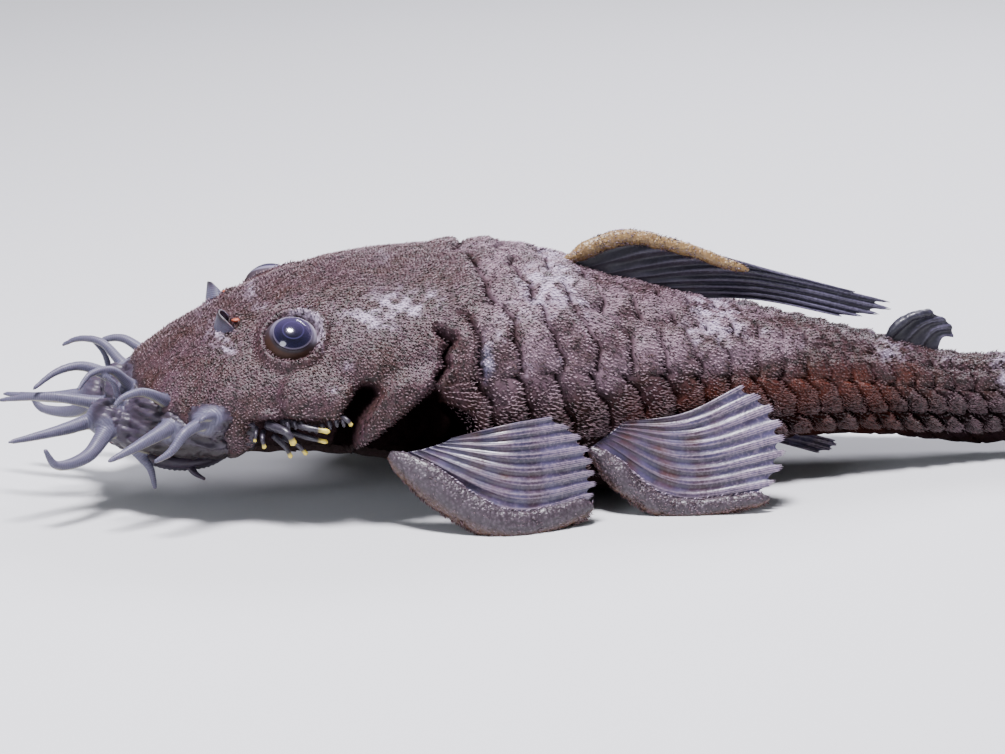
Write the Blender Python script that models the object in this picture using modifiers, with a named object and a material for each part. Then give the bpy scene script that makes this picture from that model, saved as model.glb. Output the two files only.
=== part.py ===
"""Bristlenose pleco, an adult male, life size, lying on the bottom.

The head points to -X and the animal's left side to -Y. A place along the
body is given as its station, the distance in millimetres behind the tip of
the snout, and a place around it as an angle from the middle of the back,
which grows towards the left side. The belly rests on the plane z = 0.
"""
import math
import random

import bmesh
import bpy
from mathutils import Matrix, Vector

# Driving dimensions, in millimetres and degrees
MM = 0.001
STANDARD_LENGTH = 94.6
ORIGIN_STATION = 57.0
GAP = 0.3
BELLY_DIP = 0.35

# The head rolls to the left about a line at the pivot's height, between stations
HEAD_ROLL = 4.0
ROLL_PIVOT = 10.0
ROLL_FULL_UNTIL = 26.0
ROLL_GONE_AT = 50.0

# Where the body is cut into nodes; the snout's cut slants, given as station and height
SNOUT_CUT_TOP = (7.0, 16.5)
SNOUT_CUT_FOOT = (15.5, 5.0)
HEAD_END = 33.5
TRUNK_END = 64.0
TAIL_MIDDLE = 79.0

# Station, half width, top, waist and bottom of the body's sections
SECTIONS = (
    (0.0, 1.6, 9.0, 7.9, 6.7),
    (0.8, 4.4, 10.3, 8.0, 6.1),
    (2.5, 7.4, 12.2, 8.2, 5.7),
    (5.0, 9.7, 14.4, 8.6, 5.5),
    (9.0, 11.9, 17.1, 9.2, 5.3),
    (14.0, 13.3, 19.8, 9.8, 5.3),
    (18.0, 14.0, 21.4, 10.0, 5.2),
    (24.0, 14.9, 23.0, 10.0, 4.7),
    (30.0, 15.6, 23.6, 9.6, 3.7),
    (36.0, 15.6, 23.8, 9.2, 2.5),
    (42.0, 14.8, 23.5, 8.8, 1.0),
    (46.0, 13.8, 22.5, 8.6, 0.2),
    (50.0, 12.6, 20.9, 8.4, -BELLY_DIP),
    (57.0, 10.6, 18.9, 8.2, -BELLY_DIP),
    (63.0, 9.0, 17.2, 8.0, 0.8),
    (68.0, 7.9, 16.0, 7.8, 2.9),
    (74.0, 6.6, 14.4, 7.4, 3.2),
    (82.0, 5.0, 12.0, 6.6, 2.3),
    (89.0, 3.7, 10.3, 5.8, 1.1),
    (94.6, 2.7, 10.5, 5.6, 0.8),
)
# How square a section is above and below its waist, 2 being an ellipse, at stations
UPPER_SQUARENESS = ((0.0, 2.0), (14.0, 1.95), (30.0, 2.15), (46.0, 2.2), (70.0, 2.0), (94.6, 2.0))
LOWER_SQUARENESS = (
    (0.0, 2.2), (14.0, 2.3), (24.0, 2.4), (36.0, 3.0), (46.0, 3.4), (64.0, 2.8), (80.0, 2.2),
    (94.6, 2.0),
)

# Bony plates: five rows on each side, raised at their hind edge and parted by grooves
PLATE_START = 34.3
PLATE_PITCH = 2.52
PLATE_COUNT = 24
PLATE_STEP = 0.3
PLATE_RISE_FRONT = 0.05
PLATE_RISE_HIND = 0.38
PLATE_SWEEP = 0.55
ROW_BOUNDS = (0.0, 17.0, 40.0, 68.0, 97.0, 124.0)
PLATE_GROOVE = 0.2
BELLY_STEPS = 3
TIP_RINGS = (0.0, 0.8, 1.7)
HEAD_RINGS_FROM = 3.0
HEAD_RING_SPACING = 2.0

# Eyes, nostrils, cheeks and gill covers, their angles taken from the middle of the back
EYE_STATION = 18.5
EYE_ANGLE = 41.0
EYE_RADIUS = 2.9
EYE_STANDS_OUT = 1.0
SOCKET_GAP = 0.4

NOSTRIL_STATION = 12.6
NOSTRIL_SIDE = 3.9
NOSTRIL_RADIUS = 0.8
NOSTRIL_BEHIND = 1.4
NOSTRIL_FLAP_HEIGHT = 2.1
NOSTRIL_FLAP_LEAN = 0.3
NOSTRIL_FLAP_RADII = (1.0, 0.45)

CHEEK_CENTRE = (19.4, 13.1, 11.2)
CHEEK_RADII = (4.3, 1.9, 2.3)
GILL_COVER_CENTRE = (27.9, 15.0, 11.9)
GILL_COVER_RADII = (5.3, 1.5, 2.3)
GILL_COVER_LEAN = 37.0

# Hooked cheek spines of the straight body, from root to tip as station,
# distance from the middle and height, each with its radius
CHEEK_HOOKS = (
    (((21.4, 13.8, 10.9), (22.9, 15.6, 11.4), (23.8, 15.9, 11.2)), 0.4),
    (((18.0, 13.8, 10.6), (19.8, 15.3, 10.6), (21.6, 15.7, 10.5)), 0.45),
    (((18.4, 13.8, 10.0), (20.2, 15.1, 9.8), (21.2, 15.3, 9.6)), 0.4),
    (((16.6, 13.4, 10.4), (18.0, 15.0, 10.1), (18.0, 15.2, 9.0)), 0.55),
    (((16.2, 13.2, 10.2), (15.8, 14.4, 9.0), (15.4, 14.5, 8.2)), 0.35),
    (((17.2, 13.4, 9.8), (17.6, 14.6, 8.6), (18.2, 14.7, 7.8)), 0.4),
    (((18.6, 13.5, 9.8), (19.0, 14.6, 8.8), (19.6, 14.8, 8.2)), 0.35),
)
CHEEK_BUMPS = 5
CHEEK_BUMP_FIRST = (17.6, 14.3, 10.2)
CHEEK_BUMP_LAST = (21.3, 14.75, 10.5)
CHEEK_BUMP_RADII = (0.3, 0.4, 0.5)
HOOK_TIP = 0.15

# Each bristle of the left side: its points from root to tip and its root's radius.
# Points are station, distance to the left of the middle, and height in the pose.
BRISTLES = (
    (((0.2, 4.4, 9.2), (-4.0, 6.3, 8.6), (-9.1, 9.0, 8.4)), 1.15),
    (((0.8, 6.2, 8.4), (-1.4, 8.3, 6.5), (-4.4, 10.4, 6.3), (-5.7, 11.2, 8.3)), 1.05),
    (((6.2, 10.2, 9.4), (3.2, 12.2, 8.4), (0.1, 13.6, 7.3)), 1.05),
    (((9.9, 12.2, 10.6), (7.6, 14.6, 10.2), (6.0, 15.6, 8.6), (4.3, 15.9, 7.7)), 0.85),
    (((3.1, 4.0, 12.4), (1.3, 5.4, 14.2), (-0.8, 7.0, 14.3), (-2.2, 8.2, 13.0)), 0.6),
    (((2.2, 5.0, 11.0), (1.5, 5.9, 13.0), (0.4, 6.4, 14.0)), 0.45),
    (((6.0, 8.8, 11.9), (3.9, 10.4, 13.2), (2.0, 11.2, 13.0), (1.0, 11.6, 12.2)), 0.65),
    (((3.4, 5.8, 6.4), (4.7, 7.0, 4.7), (5.2, 7.2, 2.4)), 0.75),
)
# Bristles near the middle, which have no partner on the other side
MIDDLE_BRISTLES = (
    (((0.6, 1.4, 9.8), (-4.5, 0.8, 10.6), (-9.4, -1.6, 9.8)), 0.95),
    (((1.8, -0.4, 12.0), (-1.0, -0.4, 13.2), (-3.6, 0.2, 12.9), (-6.1, 1.0, 11.4)), 0.75),
)
BRISTLE_TIP = 0.17
BRISTLE_FLARE = 0.5
BRISTLE_SWAY = 0.6
BRISTLE_SUNK = 1.5
BRISTLE_CORE = (7.5, 9.0)
# Fleshy pads of the snout's edge that the front bristles branch from
PADS = (((0.6, 4.6, 9.2), (1.9, 2.0, 1.7)), ((2.6, 2.0, 11.2), (1.6, 1.8, 1.3)))

# The sucking mouth under the head and the barbels at its corners
MOUTH_CENTRE = (8.6, 0.0, 4.8)
MOUTH_RADII = (5.0, 6.0, 1.7)
MOUTH_SLIT = (7.2, 0.0, 3.2)
MOUTH_SLIT_RADII = (0.9, 3.0, 0.9)
BARBEL = ((8.8, 5.2, 4.4), (9.2, 6.4, 4.0), (10.0, 7.6, 3.8))
BARBEL_RADII = (0.45, 0.2)

# Fins: thicknesses, and the shares of a ray's length where it parts in two
MEMBRANE = 0.5
RAY_THICKNESS = 0.95
BRANCHES_FROM = 0.4
BRANCHED_BY = 0.6
RAY_THINS_BY = 0.3
SPINE_START = 0.035
SPINE_OVERSHOOT = 0.07
FIN_FOOT = 0.5
MIDDLE_LEAN = 0.3

# Rays of the left breast fin: root as station and angle, middle and tip as
# station, distance from the middle and height in the pose
PECTORAL_ROOTS = (
    (27.0, 104.0), (28.6, 101.0), (30.0, 98.0), (31.2, 95.0), (32.2, 92.0), (33.0, 89.0),
)
PECTORAL_MIDDLES = (
    (37.0, 19.6, 1.0), (38.0, 19.2, 3.2), (38.6, 18.8, 5.1), (38.8, 18.2, 7.0),
    (38.4, 17.6, 8.7), (38.0, 17.2, 10.2),
)
PECTORAL_TIPS = (
    (46.0, 17.8, 1.7), (47.0, 17.5, 3.5), (46.8, 17.2, 5.2), (46.4, 16.9, 7.1),
    (45.2, 16.6, 9.0), (42.6, 16.5, 10.6),
)
PECTORAL_SPINE = (1.3, 0.7)
PELVIC_ROOTS = (
    (46.9, 104.0), (47.8, 100.0), (48.6, 97.0), (49.3, 94.0), (49.9, 91.5), (50.4, 89.0),
)
PELVIC_MIDDLES = (
    (54.0, 16.0, 0.8), (55.4, 15.7, 2.7), (56.4, 15.2, 4.4), (57.0, 14.5, 6.2),
    (57.0, 13.8, 7.8), (56.4, 13.2, 9.4),
)
PELVIC_TIPS = (
    (63.6, 17.0, 1.4), (65.6, 16.1, 3.6), (66.3, 15.3, 5.8), (66.2, 14.4, 8.0),
    (65.0, 13.2, 10.2), (62.4, 12.4, 11.8),
)
PELVIC_SPINE = (1.05, 0.5)

# Fins of the middle plane, their middles and tips given as station and height
DORSAL_BASE = (46.9, 60.5)
DORSAL_LEAN = -0.9
DORSAL_SPINE = (0.75, 0.4)
DORSAL_MIDDLES = (
    (54.0, 24.1), (58.5, 22.7), (61.8, 21.5), (64.6, 20.3), (66.0, 19.1), (66.8, 18.3),
    (67.2, 17.6), (67.4, 17.0),
)
DORSAL_TIPS = (
    (65.0, 20.6), (71.0, 19.3), (76.4, 17.8), (80.4, 16.5), (80.6, 15.7), (79.2, 15.2),
    (77.4, 15.1), (75.2, 15.2),
)

ADIPOSE_BASE = (80.2, 85.6)
ADIPOSE_MIDDLES = ((82.4, 14.4), (84.0, 13.8), (85.2, 13.1), (86.2, 12.3))
ADIPOSE_TIPS = ((85.0, 15.0), (86.4, 14.4), (87.2, 13.5), (87.4, 12.3))
ADIPOSE_SPINE = (0.6, 0.35)

ANAL_BASE = (67.0, 70.6)
ANAL_TIPS = ((73.4, 0.7), (74.8, 1.0), (75.4, 1.5), (75.2, 2.0))

CAUDAL_RAYS = 13
CAUDAL_TOP_TIP = (116.5, 19.0)
CAUDAL_FOOT_TIP = (123.6, 0.7)
CAUDAL_CURL = 3.5
CAUDAL_DENT = 1.6
CAUDAL_SPINE = (0.9, 0.5)
CAUDAL_INSET = 0.5

COLOURS = {
    "skin": (0.105, 0.072, 0.070),
    "snout": (0.190, 0.180, 0.205),
    "fin": (0.120, 0.105, 0.125),
    "dark_fin": (0.030, 0.028, 0.036),
    "lip": (0.210, 0.165, 0.160),
    "eye": (0.012, 0.012, 0.030),
}


def smooth_value(table, station):
    """Read a table of (station, value) pairs on one smooth curve."""
    last = len(table) - 1
    if station <= table[0][0]:
        return table[0][1]
    if station >= table[last][0]:
        return table[last][1]
    i = next(k for k in range(last) if station <= table[k + 1][0])
    x0, y0 = table[i]
    x1, y1 = table[i + 1]
    slope = (y1 - y0) / (x1 - x0)
    before = slope if i == 0 else (y0 - table[i - 1][1]) / (x0 - table[i - 1][0])
    after = slope if i + 1 == last else (table[i + 2][1] - y1) / (table[i + 2][0] - x1)
    start = 0.5 * (slope + before)
    end = 0.5 * (slope + after)
    width = x1 - x0
    t = (station - x0) / width
    return (
        (1 + 2 * t) * (1 - t) ** 2 * y0 + t * (1 - t) ** 2 * width * start
        + t * t * (3 - 2 * t) * y1 + t * t * (t - 1) * width * end
    )


def section_value(column, station):
    """Read one column of the body's sections at a station."""
    return smooth_value([(row[0], row[column]) for row in SECTIONS], station)


def smooth_step(start, end, value):
    """Rise from 0 at start to 1 at end."""
    t = min(max((value - start) / (end - start), 0.0), 1.0)
    return t * t * (3 - 2 * t)


def posed(station, side, height):
    """Turn a place in the straight body into a point of the pose, in metres.

    The head rolls a little to the left about a line along the body.
    """
    roll = math.radians(HEAD_ROLL) * (1 - smooth_step(ROLL_FULL_UNTIL, ROLL_GONE_AT, station))
    rise = height - ROLL_PIVOT
    y = side * math.cos(roll) - rise * math.sin(roll)
    z = ROLL_PIVOT + side * math.sin(roll) + rise * math.cos(roll)
    return Vector(((station - ORIGIN_STATION) * MM, y * MM, z * MM))


def skin_place(station, angle):
    """Side and height of the bare skin at an angle from the middle of the back."""
    across = math.sin(math.radians(angle))
    up = math.cos(math.radians(angle))
    squareness = smooth_value(UPPER_SQUARENESS if up > 0 else LOWER_SQUARENESS, station)
    reach = (abs(across) ** squareness + abs(up) ** squareness) ** (-1 / squareness)
    waist = section_value(3, station)
    height = section_value(2, station) - waist if up > 0 else waist - section_value(4, station)
    return -section_value(1, station) * reach * across, waist + height * reach * up


def skin_point(station, angle, lift=0.0):
    """A point of the pose, lifted off the skin along its outward direction."""
    side, height = skin_place(station, angle)
    side_a, height_a = skin_place(station, angle - 2.0)
    side_b, height_b = skin_place(station, angle + 2.0)
    outward = Vector((height_b - height_a, side_a - side_b))
    outward.normalize()
    if outward.dot(Vector((side, height - section_value(3, station)))) < 0:
        outward.negate()
    return posed(station, side + lift * outward.x, height + lift * outward.y)


def plate_rings():
    """Stations of the rings, each with the plate's rise and backward sweep there."""
    rings = [(station, 0.0, 0.0) for station in TIP_RINGS]
    station = HEAD_RINGS_FROM
    while station < PLATE_START - 0.5 * HEAD_RING_SPACING:
        rings.append((station, 0.0, 0.0))
        station += HEAD_RING_SPACING
    for k in range(PLATE_COUNT):
        front = PLATE_START + k * PLATE_PITCH
        rings.append((front, PLATE_RISE_FRONT, PLATE_SWEEP if k else 0.0))
        rings.append((front + PLATE_PITCH - PLATE_STEP, PLATE_RISE_HIND, PLATE_SWEEP))
    inside = [ring for ring in rings if ring[0] < STANDARD_LENGTH - PLATE_STEP]
    return inside + [(STANDARD_LENGTH, 0.0, 0.0)]


def side_angles():
    """Angles down one side, each with how much of the plate's rise it takes."""
    angles = []
    for start, end in zip(ROW_BOUNDS, ROW_BOUNDS[1:]):
        width = end - start
        angles += [
            (start, 0.0),
            (start + PLATE_GROOVE * width, 1.0),
            (end - PLATE_GROOVE * width, 1.0),
        ]
    naked = 180.0 - ROW_BOUNDS[-1]
    angles += [(ROW_BOUNDS[-1] + naked * k / BELLY_STEPS, 0.0) for k in range(BELLY_STEPS)]
    return angles + [(180.0, 0.0)]


def ring_angles():
    """Angles all the way round, from the back over the left side and home."""
    left = side_angles()
    right = [(360.0 - angle, rise) for angle, rise in reversed(left[:-1])]
    return left + right


def merge_close(bm):
    """Weld the points that lie on one another."""
    bmesh.ops.remove_doubles(bm, verts=bm.verts, dist=0.01 * MM)


def close_holes(bm):
    """Fill every open edge loop and turn the faces outwards."""
    bmesh.ops.holes_fill(bm, edges=[edge for edge in bm.edges if edge.is_boundary], sides=0)
    bmesh.ops.recalc_face_normals(bm, faces=bm.faces)


def mapped_grid(columns, rows, place, places=None):
    """A grid whose points are set by place(column, row), noted in places by their number."""
    bm = bmesh.new()
    bmesh.ops.create_grid(bm, x_segments=columns, y_segments=rows, size=0.5)
    for index, vert in enumerate(bm.verts):
        column = round((vert.co.x + 0.5) * columns)
        row = round((vert.co.y + 0.5) * rows)
        vert.co = place(column, row)
        if places is not None:
            places[index] = (column, row)
    return bm


def whole_body():
    """The body from the snout to the tail's base, closed, with its plates."""
    rings = plate_rings()
    angles = ring_angles()

    def place(ring, corner):
        station, rise, sweep = rings[ring]
        angle, share = angles[corner]
        return skin_point(station + sweep * share, angle, rise * share)

    bm = mapped_grid(len(rings) - 1, len(angles) - 1, place)
    merge_close(bm)
    close_holes(bm)
    return bm


def keep_side(bm, point, outward):
    """Cut by a plane, drop what lies outward of it and close the cut."""
    geometry = bm.verts[:] + bm.edges[:] + bm.faces[:]
    bmesh.ops.bisect_plane(
        bm, geom=geometry, dist=0.000001, plane_co=point, plane_no=outward, clear_outer=True
    )
    close_holes(bm)


def trim_to_floor(bm):
    """Cut away what reaches below the plane that the animal lies on."""
    if min(vert.co.z for vert in bm.verts) < 0:
        keep_side(bm, Vector((0, 0, 0)), Vector((0, 0, -1)))


def material(name):
    """The finish of a node, made once."""
    found = bpy.data.materials.get(name)
    if found:
        return found
    finish = bpy.data.materials.new(name)
    finish.use_nodes = True
    shader = finish.node_tree.nodes["Principled BSDF"]
    shader.inputs["Base Color"].default_value = (*COLOURS[name], 1.0)
    shader.inputs["Roughness"].default_value = 0.08 if name == "eye" else 0.5
    shader.inputs["Metallic"].default_value = 0.0
    return finish


def make_object(name, bm, finish, collection):
    """Turn a bmesh into a named object with its own copy of a finish."""
    bmesh.ops.triangulate(bm, faces=bm.faces)
    mesh = bpy.data.meshes.new(name)
    bm.to_mesh(mesh)
    bm.free()
    node = bpy.data.objects.new(name, mesh)
    own = material(finish).copy()
    own.name = name + "_finish"
    mesh.materials.append(own)
    collection.objects.link(node)
    return node


def make_helper(name, bm, helpers):
    """A piece that is joined to or cut from a node and then removed."""
    bmesh.ops.triangulate(bm, faces=bm.faces)
    mesh = bpy.data.meshes.new(name)
    bm.to_mesh(mesh)
    bm.free()
    helper = bpy.data.objects.new(name, mesh)
    helper.hide_render = True
    helper.display_type = "WIRE"
    helpers.objects.link(helper)
    return helper


def bake_modifiers(node):
    """Replace a node's mesh by the one that its modifiers give."""
    graph = bpy.context.evaluated_depsgraph_get()
    baked = bpy.data.meshes.new_from_object(node.evaluated_get(graph))
    node.modifiers.clear()
    node.data = baked


def keep_largest(node):
    """Drop all but the largest closed surface of a node."""
    bm = bmesh.new()
    bm.from_mesh(node.data)
    left = set(bm.verts)
    islands = []
    while left:
        front = [left.pop()]
        island = list(front)
        while front:
            near = {edge.other_vert(vert) for vert in front for edge in vert.link_edges} & left
            left -= near
            front = list(near)
            island += front
        islands.append(island)
    islands.sort(key=len, reverse=True)
    for island in islands[1:]:
        bmesh.ops.delete(bm, geom=island, context="VERTS")
    bm.to_mesh(node.data)
    bm.free()


def turn_outwards(node):
    """Make every face of a closed node point out of it."""
    bm = bmesh.new()
    bm.from_mesh(node.data)
    bmesh.ops.recalc_face_normals(bm, faces=bm.faces)
    bm.to_mesh(node.data)
    bm.free()


def combine(node, pieces, operation, solver="EXACT"):
    """Join pieces to a node, or cut them from it, in one Boolean."""
    helpers = bpy.data.collections.new(node.name + "_pieces")
    bpy.context.scene.collection.children.link(helpers)
    for k, bm in enumerate(pieces):
        make_helper(f"{node.name}_piece_{k}", bm, helpers)
    boolean = node.modifiers.new("combine", "BOOLEAN")
    boolean.operation = operation
    boolean.operand_type = "COLLECTION"
    boolean.collection = helpers
    boolean.solver = solver
    bake_modifiers(node)
    for helper in list(helpers.objects):
        bpy.data.objects.remove(helper, do_unlink=True)
    bpy.data.collections.remove(helpers)
    keep_largest(node)


def on_side(point, flank):
    """A straight-body place (station, side, height) of one flank, in the pose.

    The flank is -1 for the animal's left, which is the -Y side, and +1 for its right.
    """
    station, side, height = point
    return posed(station, flank * side, height)


def mirrored(point, flank):
    """A point given for the left side in pose millimetres, in metres on either side."""
    station, side, height = point
    return Vector(((station - ORIGIN_STATION) * MM, flank * side * MM, height * MM))


def ball(radii, steps=(12, 8), grow=0.0):
    """A closed ellipsoid round the origin, from its radii in millimetres."""
    bm = bmesh.new()
    bmesh.ops.create_uvsphere(bm, u_segments=steps[0], v_segments=steps[1], radius=1.0)
    sizes = [(radius + grow) * MM for radius in radii]
    bmesh.ops.scale(bm, vec=sizes, verts=bm.verts)
    return bm


def place_shape(bm, centre, turn=None):
    """Turn a shape about the origin and move it to its centre."""
    matrix = Matrix.Translation(centre)
    if turn:
        matrix = matrix @ turn
    bmesh.ops.transform(bm, matrix=matrix, verts=bm.verts)
    return bm


def along_curve(points, t):
    """A point on the smooth curve through three or more points, t from 0 to 1."""
    spans = len(points) - 1
    i = min(int(t * spans), spans - 1)
    f = t * spans - i
    a = points[max(i - 1, 0)]
    b, c = points[i], points[i + 1]
    d = points[min(i + 2, spans)]
    start = (c - a) * (0.5 if i else 1.0)
    end = (d - b) * (0.5 if i + 2 <= spans else 1.0)
    return (
        b * ((1 + 2 * f) * (1 - f) ** 2) + start * (f * (1 - f) ** 2)
        + c * (f * f * (3 - 2 * f)) + end * (f * f * (f - 1))
    )


def tube(points, thick, thin, steps=6, sides=6, flare=0.0):
    """A closed tube along a smooth curve, tapering from a flared root, radii in millimetres."""
    curve = bpy.data.curves.new("tube", "CURVE")
    curve.dimensions = "3D"
    curve.bevel_depth = MM
    curve.bevel_resolution = (sides - 4) // 2
    curve.use_fill_caps = True
    spline = curve.splines.new("POLY")
    spline.points.add(steps)
    for k in range(steps + 1):
        t = k / steps
        spline.points[k].co = (*along_curve(points, t), 1.0)
        spline.points[k].radius = thick + (thin - thick) * t + flare * (1 - t) ** 6
    carrier = bpy.data.objects.new("tube", curve)
    bpy.context.scene.collection.objects.link(carrier)
    graph = bpy.context.evaluated_depsgraph_get()
    mesh = bpy.data.meshes.new_from_object(carrier.evaluated_get(graph))
    bm = bmesh.new()
    bm.from_mesh(mesh)
    bpy.data.objects.remove(carrier, do_unlink=True)
    bpy.data.curves.remove(curve)
    bpy.data.meshes.remove(mesh)
    merge_close(bm)
    bmesh.ops.recalc_face_normals(bm, faces=bm.faces)
    return bm


def rooted(points, flank):
    """A bristle's points on one flank, with its root sunk towards the head."""
    placed = [mirrored(point, flank) for point in points]
    core = Vector(((BRISTLE_CORE[0] - ORIGIN_STATION) * MM, 0.5 * placed[0].y, BRISTLE_CORE[1] * MM))
    inward = (core - placed[0]).normalized()
    return [placed[0] + inward * BRISTLE_SUNK * MM] + placed


def bristles():
    """All the bristles of the snout and their pads, the right side a little varied."""
    random.seed(7)
    pieces = []
    for flank in (-1, 1):
        for points, radius in BRISTLES:
            placed = rooted(points, flank)
            if flank > 0:
                sway = [random.uniform(-BRISTLE_SWAY, BRISTLE_SWAY) * MM for _ in range(3)]
                placed[-1] += Vector(sway)
            pieces.append(tube(placed, radius, BRISTLE_TIP, steps=5, flare=BRISTLE_FLARE))
        for centre, radii in PADS:
            pieces.append(place_shape(ball(radii, (8, 6)), mirrored(centre, flank)))
    for points, radius in MIDDLE_BRISTLES:
        pieces.append(tube(rooted(points, -1), radius, BRISTLE_TIP, steps=5, flare=BRISTLE_FLARE))
    return pieces


def snout_plane():
    """A point and the direction of the slanting cut behind the naked snout."""
    top = Vector((SNOUT_CUT_TOP[0], 0.0, SNOUT_CUT_TOP[1]))
    foot = Vector((SNOUT_CUT_FOOT[0], 0.0, SNOUT_CUT_FOOT[1]))
    down = foot - top
    backward = Vector((-down.z, 0.0, down.x)).normalized()
    return Vector(((top.x - ORIGIN_STATION) * MM, 0.0, top.z * MM)), backward


def slice_between(body, start, end):
    """A copy of the body between two stations, half a gap short at each end."""
    bm = body.copy()
    if start is not None:
        front = Vector(((start + 0.5 * GAP - ORIGIN_STATION) * MM, 0, 0))
        keep_side(bm, front, Vector((-1, 0, 0)))
    if end is not None:
        hind = Vector(((end - 0.5 * GAP - ORIGIN_STATION) * MM, 0, 0))
        keep_side(bm, hind, Vector((1, 0, 0)))
    trim_to_floor(bm)
    return bm


def make_snout(body, model):
    """The naked front of the head with its bristles."""
    point, backward = snout_plane()
    bm = body.copy()
    keep_side(bm, point - backward * 0.5 * GAP * MM, backward)
    snout = make_object("snout", bm, "snout", model)
    combine(snout, bristles(), "UNION")
    return snout


def eye_centre(flank):
    """The middle of an eyeball, sunk so that only its front stands out."""
    return skin_point(EYE_STATION, -flank * EYE_ANGLE, EYE_STANDS_OUT - EYE_RADIUS)


def cheek_shape(flank, grow=0.0):
    """The lobe of the cheek that carries the hooked spines."""
    return place_shape(ball(CHEEK_RADII, grow=grow), on_side(CHEEK_CENTRE, flank))


def gill_cover_shape(flank, grow=0.0):
    """The strip of the gill cover, which leans back as it rises."""
    lean = Matrix.Rotation(math.radians(-GILL_COVER_LEAN), 4, "Y")
    return place_shape(ball(GILL_COVER_RADII, grow=grow), on_side(GILL_COVER_CENTRE, flank), lean)


def nostril_place(flank, station_shift=0.0, lift=0.0):
    """A point over the skin at a nostril."""
    station = NOSTRIL_STATION + station_shift
    half_width = section_value(1, station)
    angle = math.degrees(math.asin(NOSTRIL_SIDE / half_width))
    return skin_point(station, -flank * angle, lift)


def make_head(body, model):
    """The head with its eye sockets, nostrils and the seats of cheek and gill cover."""
    point, backward = snout_plane()
    bm = slice_between(body, None, HEAD_END)
    keep_side(bm, point + backward * 0.5 * GAP * MM, -backward)
    head = make_object("head", bm, "skin", model)
    cuts = []
    flaps = []
    for flank in (-1, 1):
        cuts.append(place_shape(ball([EYE_RADIUS] * 3, (14, 9), SOCKET_GAP), eye_centre(flank)))
        cuts.append(cheek_shape(flank, GAP))
        cuts += cheek_hooks(flank, GAP)
        cuts.append(gill_cover_shape(flank, GAP))
        nostril = nostril_place(flank, NOSTRIL_BEHIND)
        cuts.append(place_shape(ball([NOSTRIL_RADIUS] * 3, (8, 6)), nostril))
        foot = nostril_place(flank, 0.0, -NOSTRIL_RADIUS)
        middle = nostril_place(flank, 0.0, 0.5 * NOSTRIL_FLAP_HEIGHT)
        top = nostril_place(flank, -NOSTRIL_FLAP_LEAN, NOSTRIL_FLAP_HEIGHT)
        flaps.append(tube([foot, middle, top], *NOSTRIL_FLAP_RADII, steps=4))
    combine(head, cuts, "DIFFERENCE")
    combine(head, flaps, "UNION")
    return head


def make_eyes(model):
    """Two eyeballs in their sockets."""
    for flank, side in ((-1, "left"), (1, "right")):
        shape = place_shape(ball([EYE_RADIUS] * 3, (14, 9)), eye_centre(flank))
        make_object("eye_" + side, shape, "eye", model)


def cheek_hooks(flank, grow=0.0):
    """The hooked spines of one cheek."""
    return [
        tube([on_side(point, flank) for point in points], radius + grow, HOOK_TIP + grow, steps=3)
        for points, radius in CHEEK_HOOKS
    ]


def make_cheeks(model):
    """The cheek lobes with their hooked spines and the row of bumps on their lower edge."""
    for flank, side in ((-1, "left"), (1, "right")):
        cheek = make_object("cheek_" + side, cheek_shape(flank), "skin", model)
        pieces = cheek_hooks(flank)
        for k in range(CHEEK_BUMPS):
            share = k / (CHEEK_BUMPS - 1)
            place = [a + (b - a) * share for a, b in zip(CHEEK_BUMP_FIRST, CHEEK_BUMP_LAST)]
            pieces.append(place_shape(ball(CHEEK_BUMP_RADII, (6, 4)), on_side(place, flank)))
        combine(cheek, pieces, "UNION")


def make_gill_covers(model):
    """The strips of the gill covers."""
    for flank, side in ((-1, "left"), (1, "right")):
        make_object("gill_cover_" + side, gill_cover_shape(flank), "skin", model)


def make_mouth(model):
    """The sucking disc under the head, with its slit and corner barbels."""
    roll = Matrix.Rotation(math.radians(HEAD_ROLL), 4, "X")
    disc = ball(MOUTH_RADII, (16, 8))
    keep_side(disc, Vector((0, 0, 0)), Vector((0, 0, 1)))
    mouth = make_object("mouth", place_shape(disc, posed(*MOUTH_CENTRE), roll), "lip", model)
    slit = place_shape(ball(MOUTH_SLIT_RADII, (10, 6)), posed(*MOUTH_SLIT), roll)
    combine(mouth, [slit], "DIFFERENCE")
    barbels = [tube([on_side(p, flank) for p in BARBEL], *BARBEL_RADII, steps=3) for flank in (-1, 1)]
    combine(mouth, barbels, "UNION")


def ridge_share(column, row, samples, steps):
    """How thick the fin is at a grid point, as a share of a ray's full thickness.

    A ray is one ridge from its root and parts into two branches further out.
    """
    thin = MEMBRANE / RAY_THICKNESS
    out = row / steps
    parted = smooth_step(BRANCHES_FROM, BRANCHED_BY, out)
    between = column % samples
    if between == 0:
        share = 1.0 - parted * (1.0 - thin) if samples == 4 else 1.0
    elif samples == 4 and between != 2:
        share = thin + parted * (1.0 - thin)
    else:
        share = thin
    return share * (1.0 - RAY_THINS_BY * out * out)


def tip_reach(column, samples, notch):
    """How far out a column of the fin goes, as a share of its rays' length."""
    between = column % samples
    if samples == 4:
        return (1.0 - 0.5 * notch, 1.0, 1.0 - notch, 1.0)[between]
    return 1.0 - notch if between else 1.0


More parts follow.
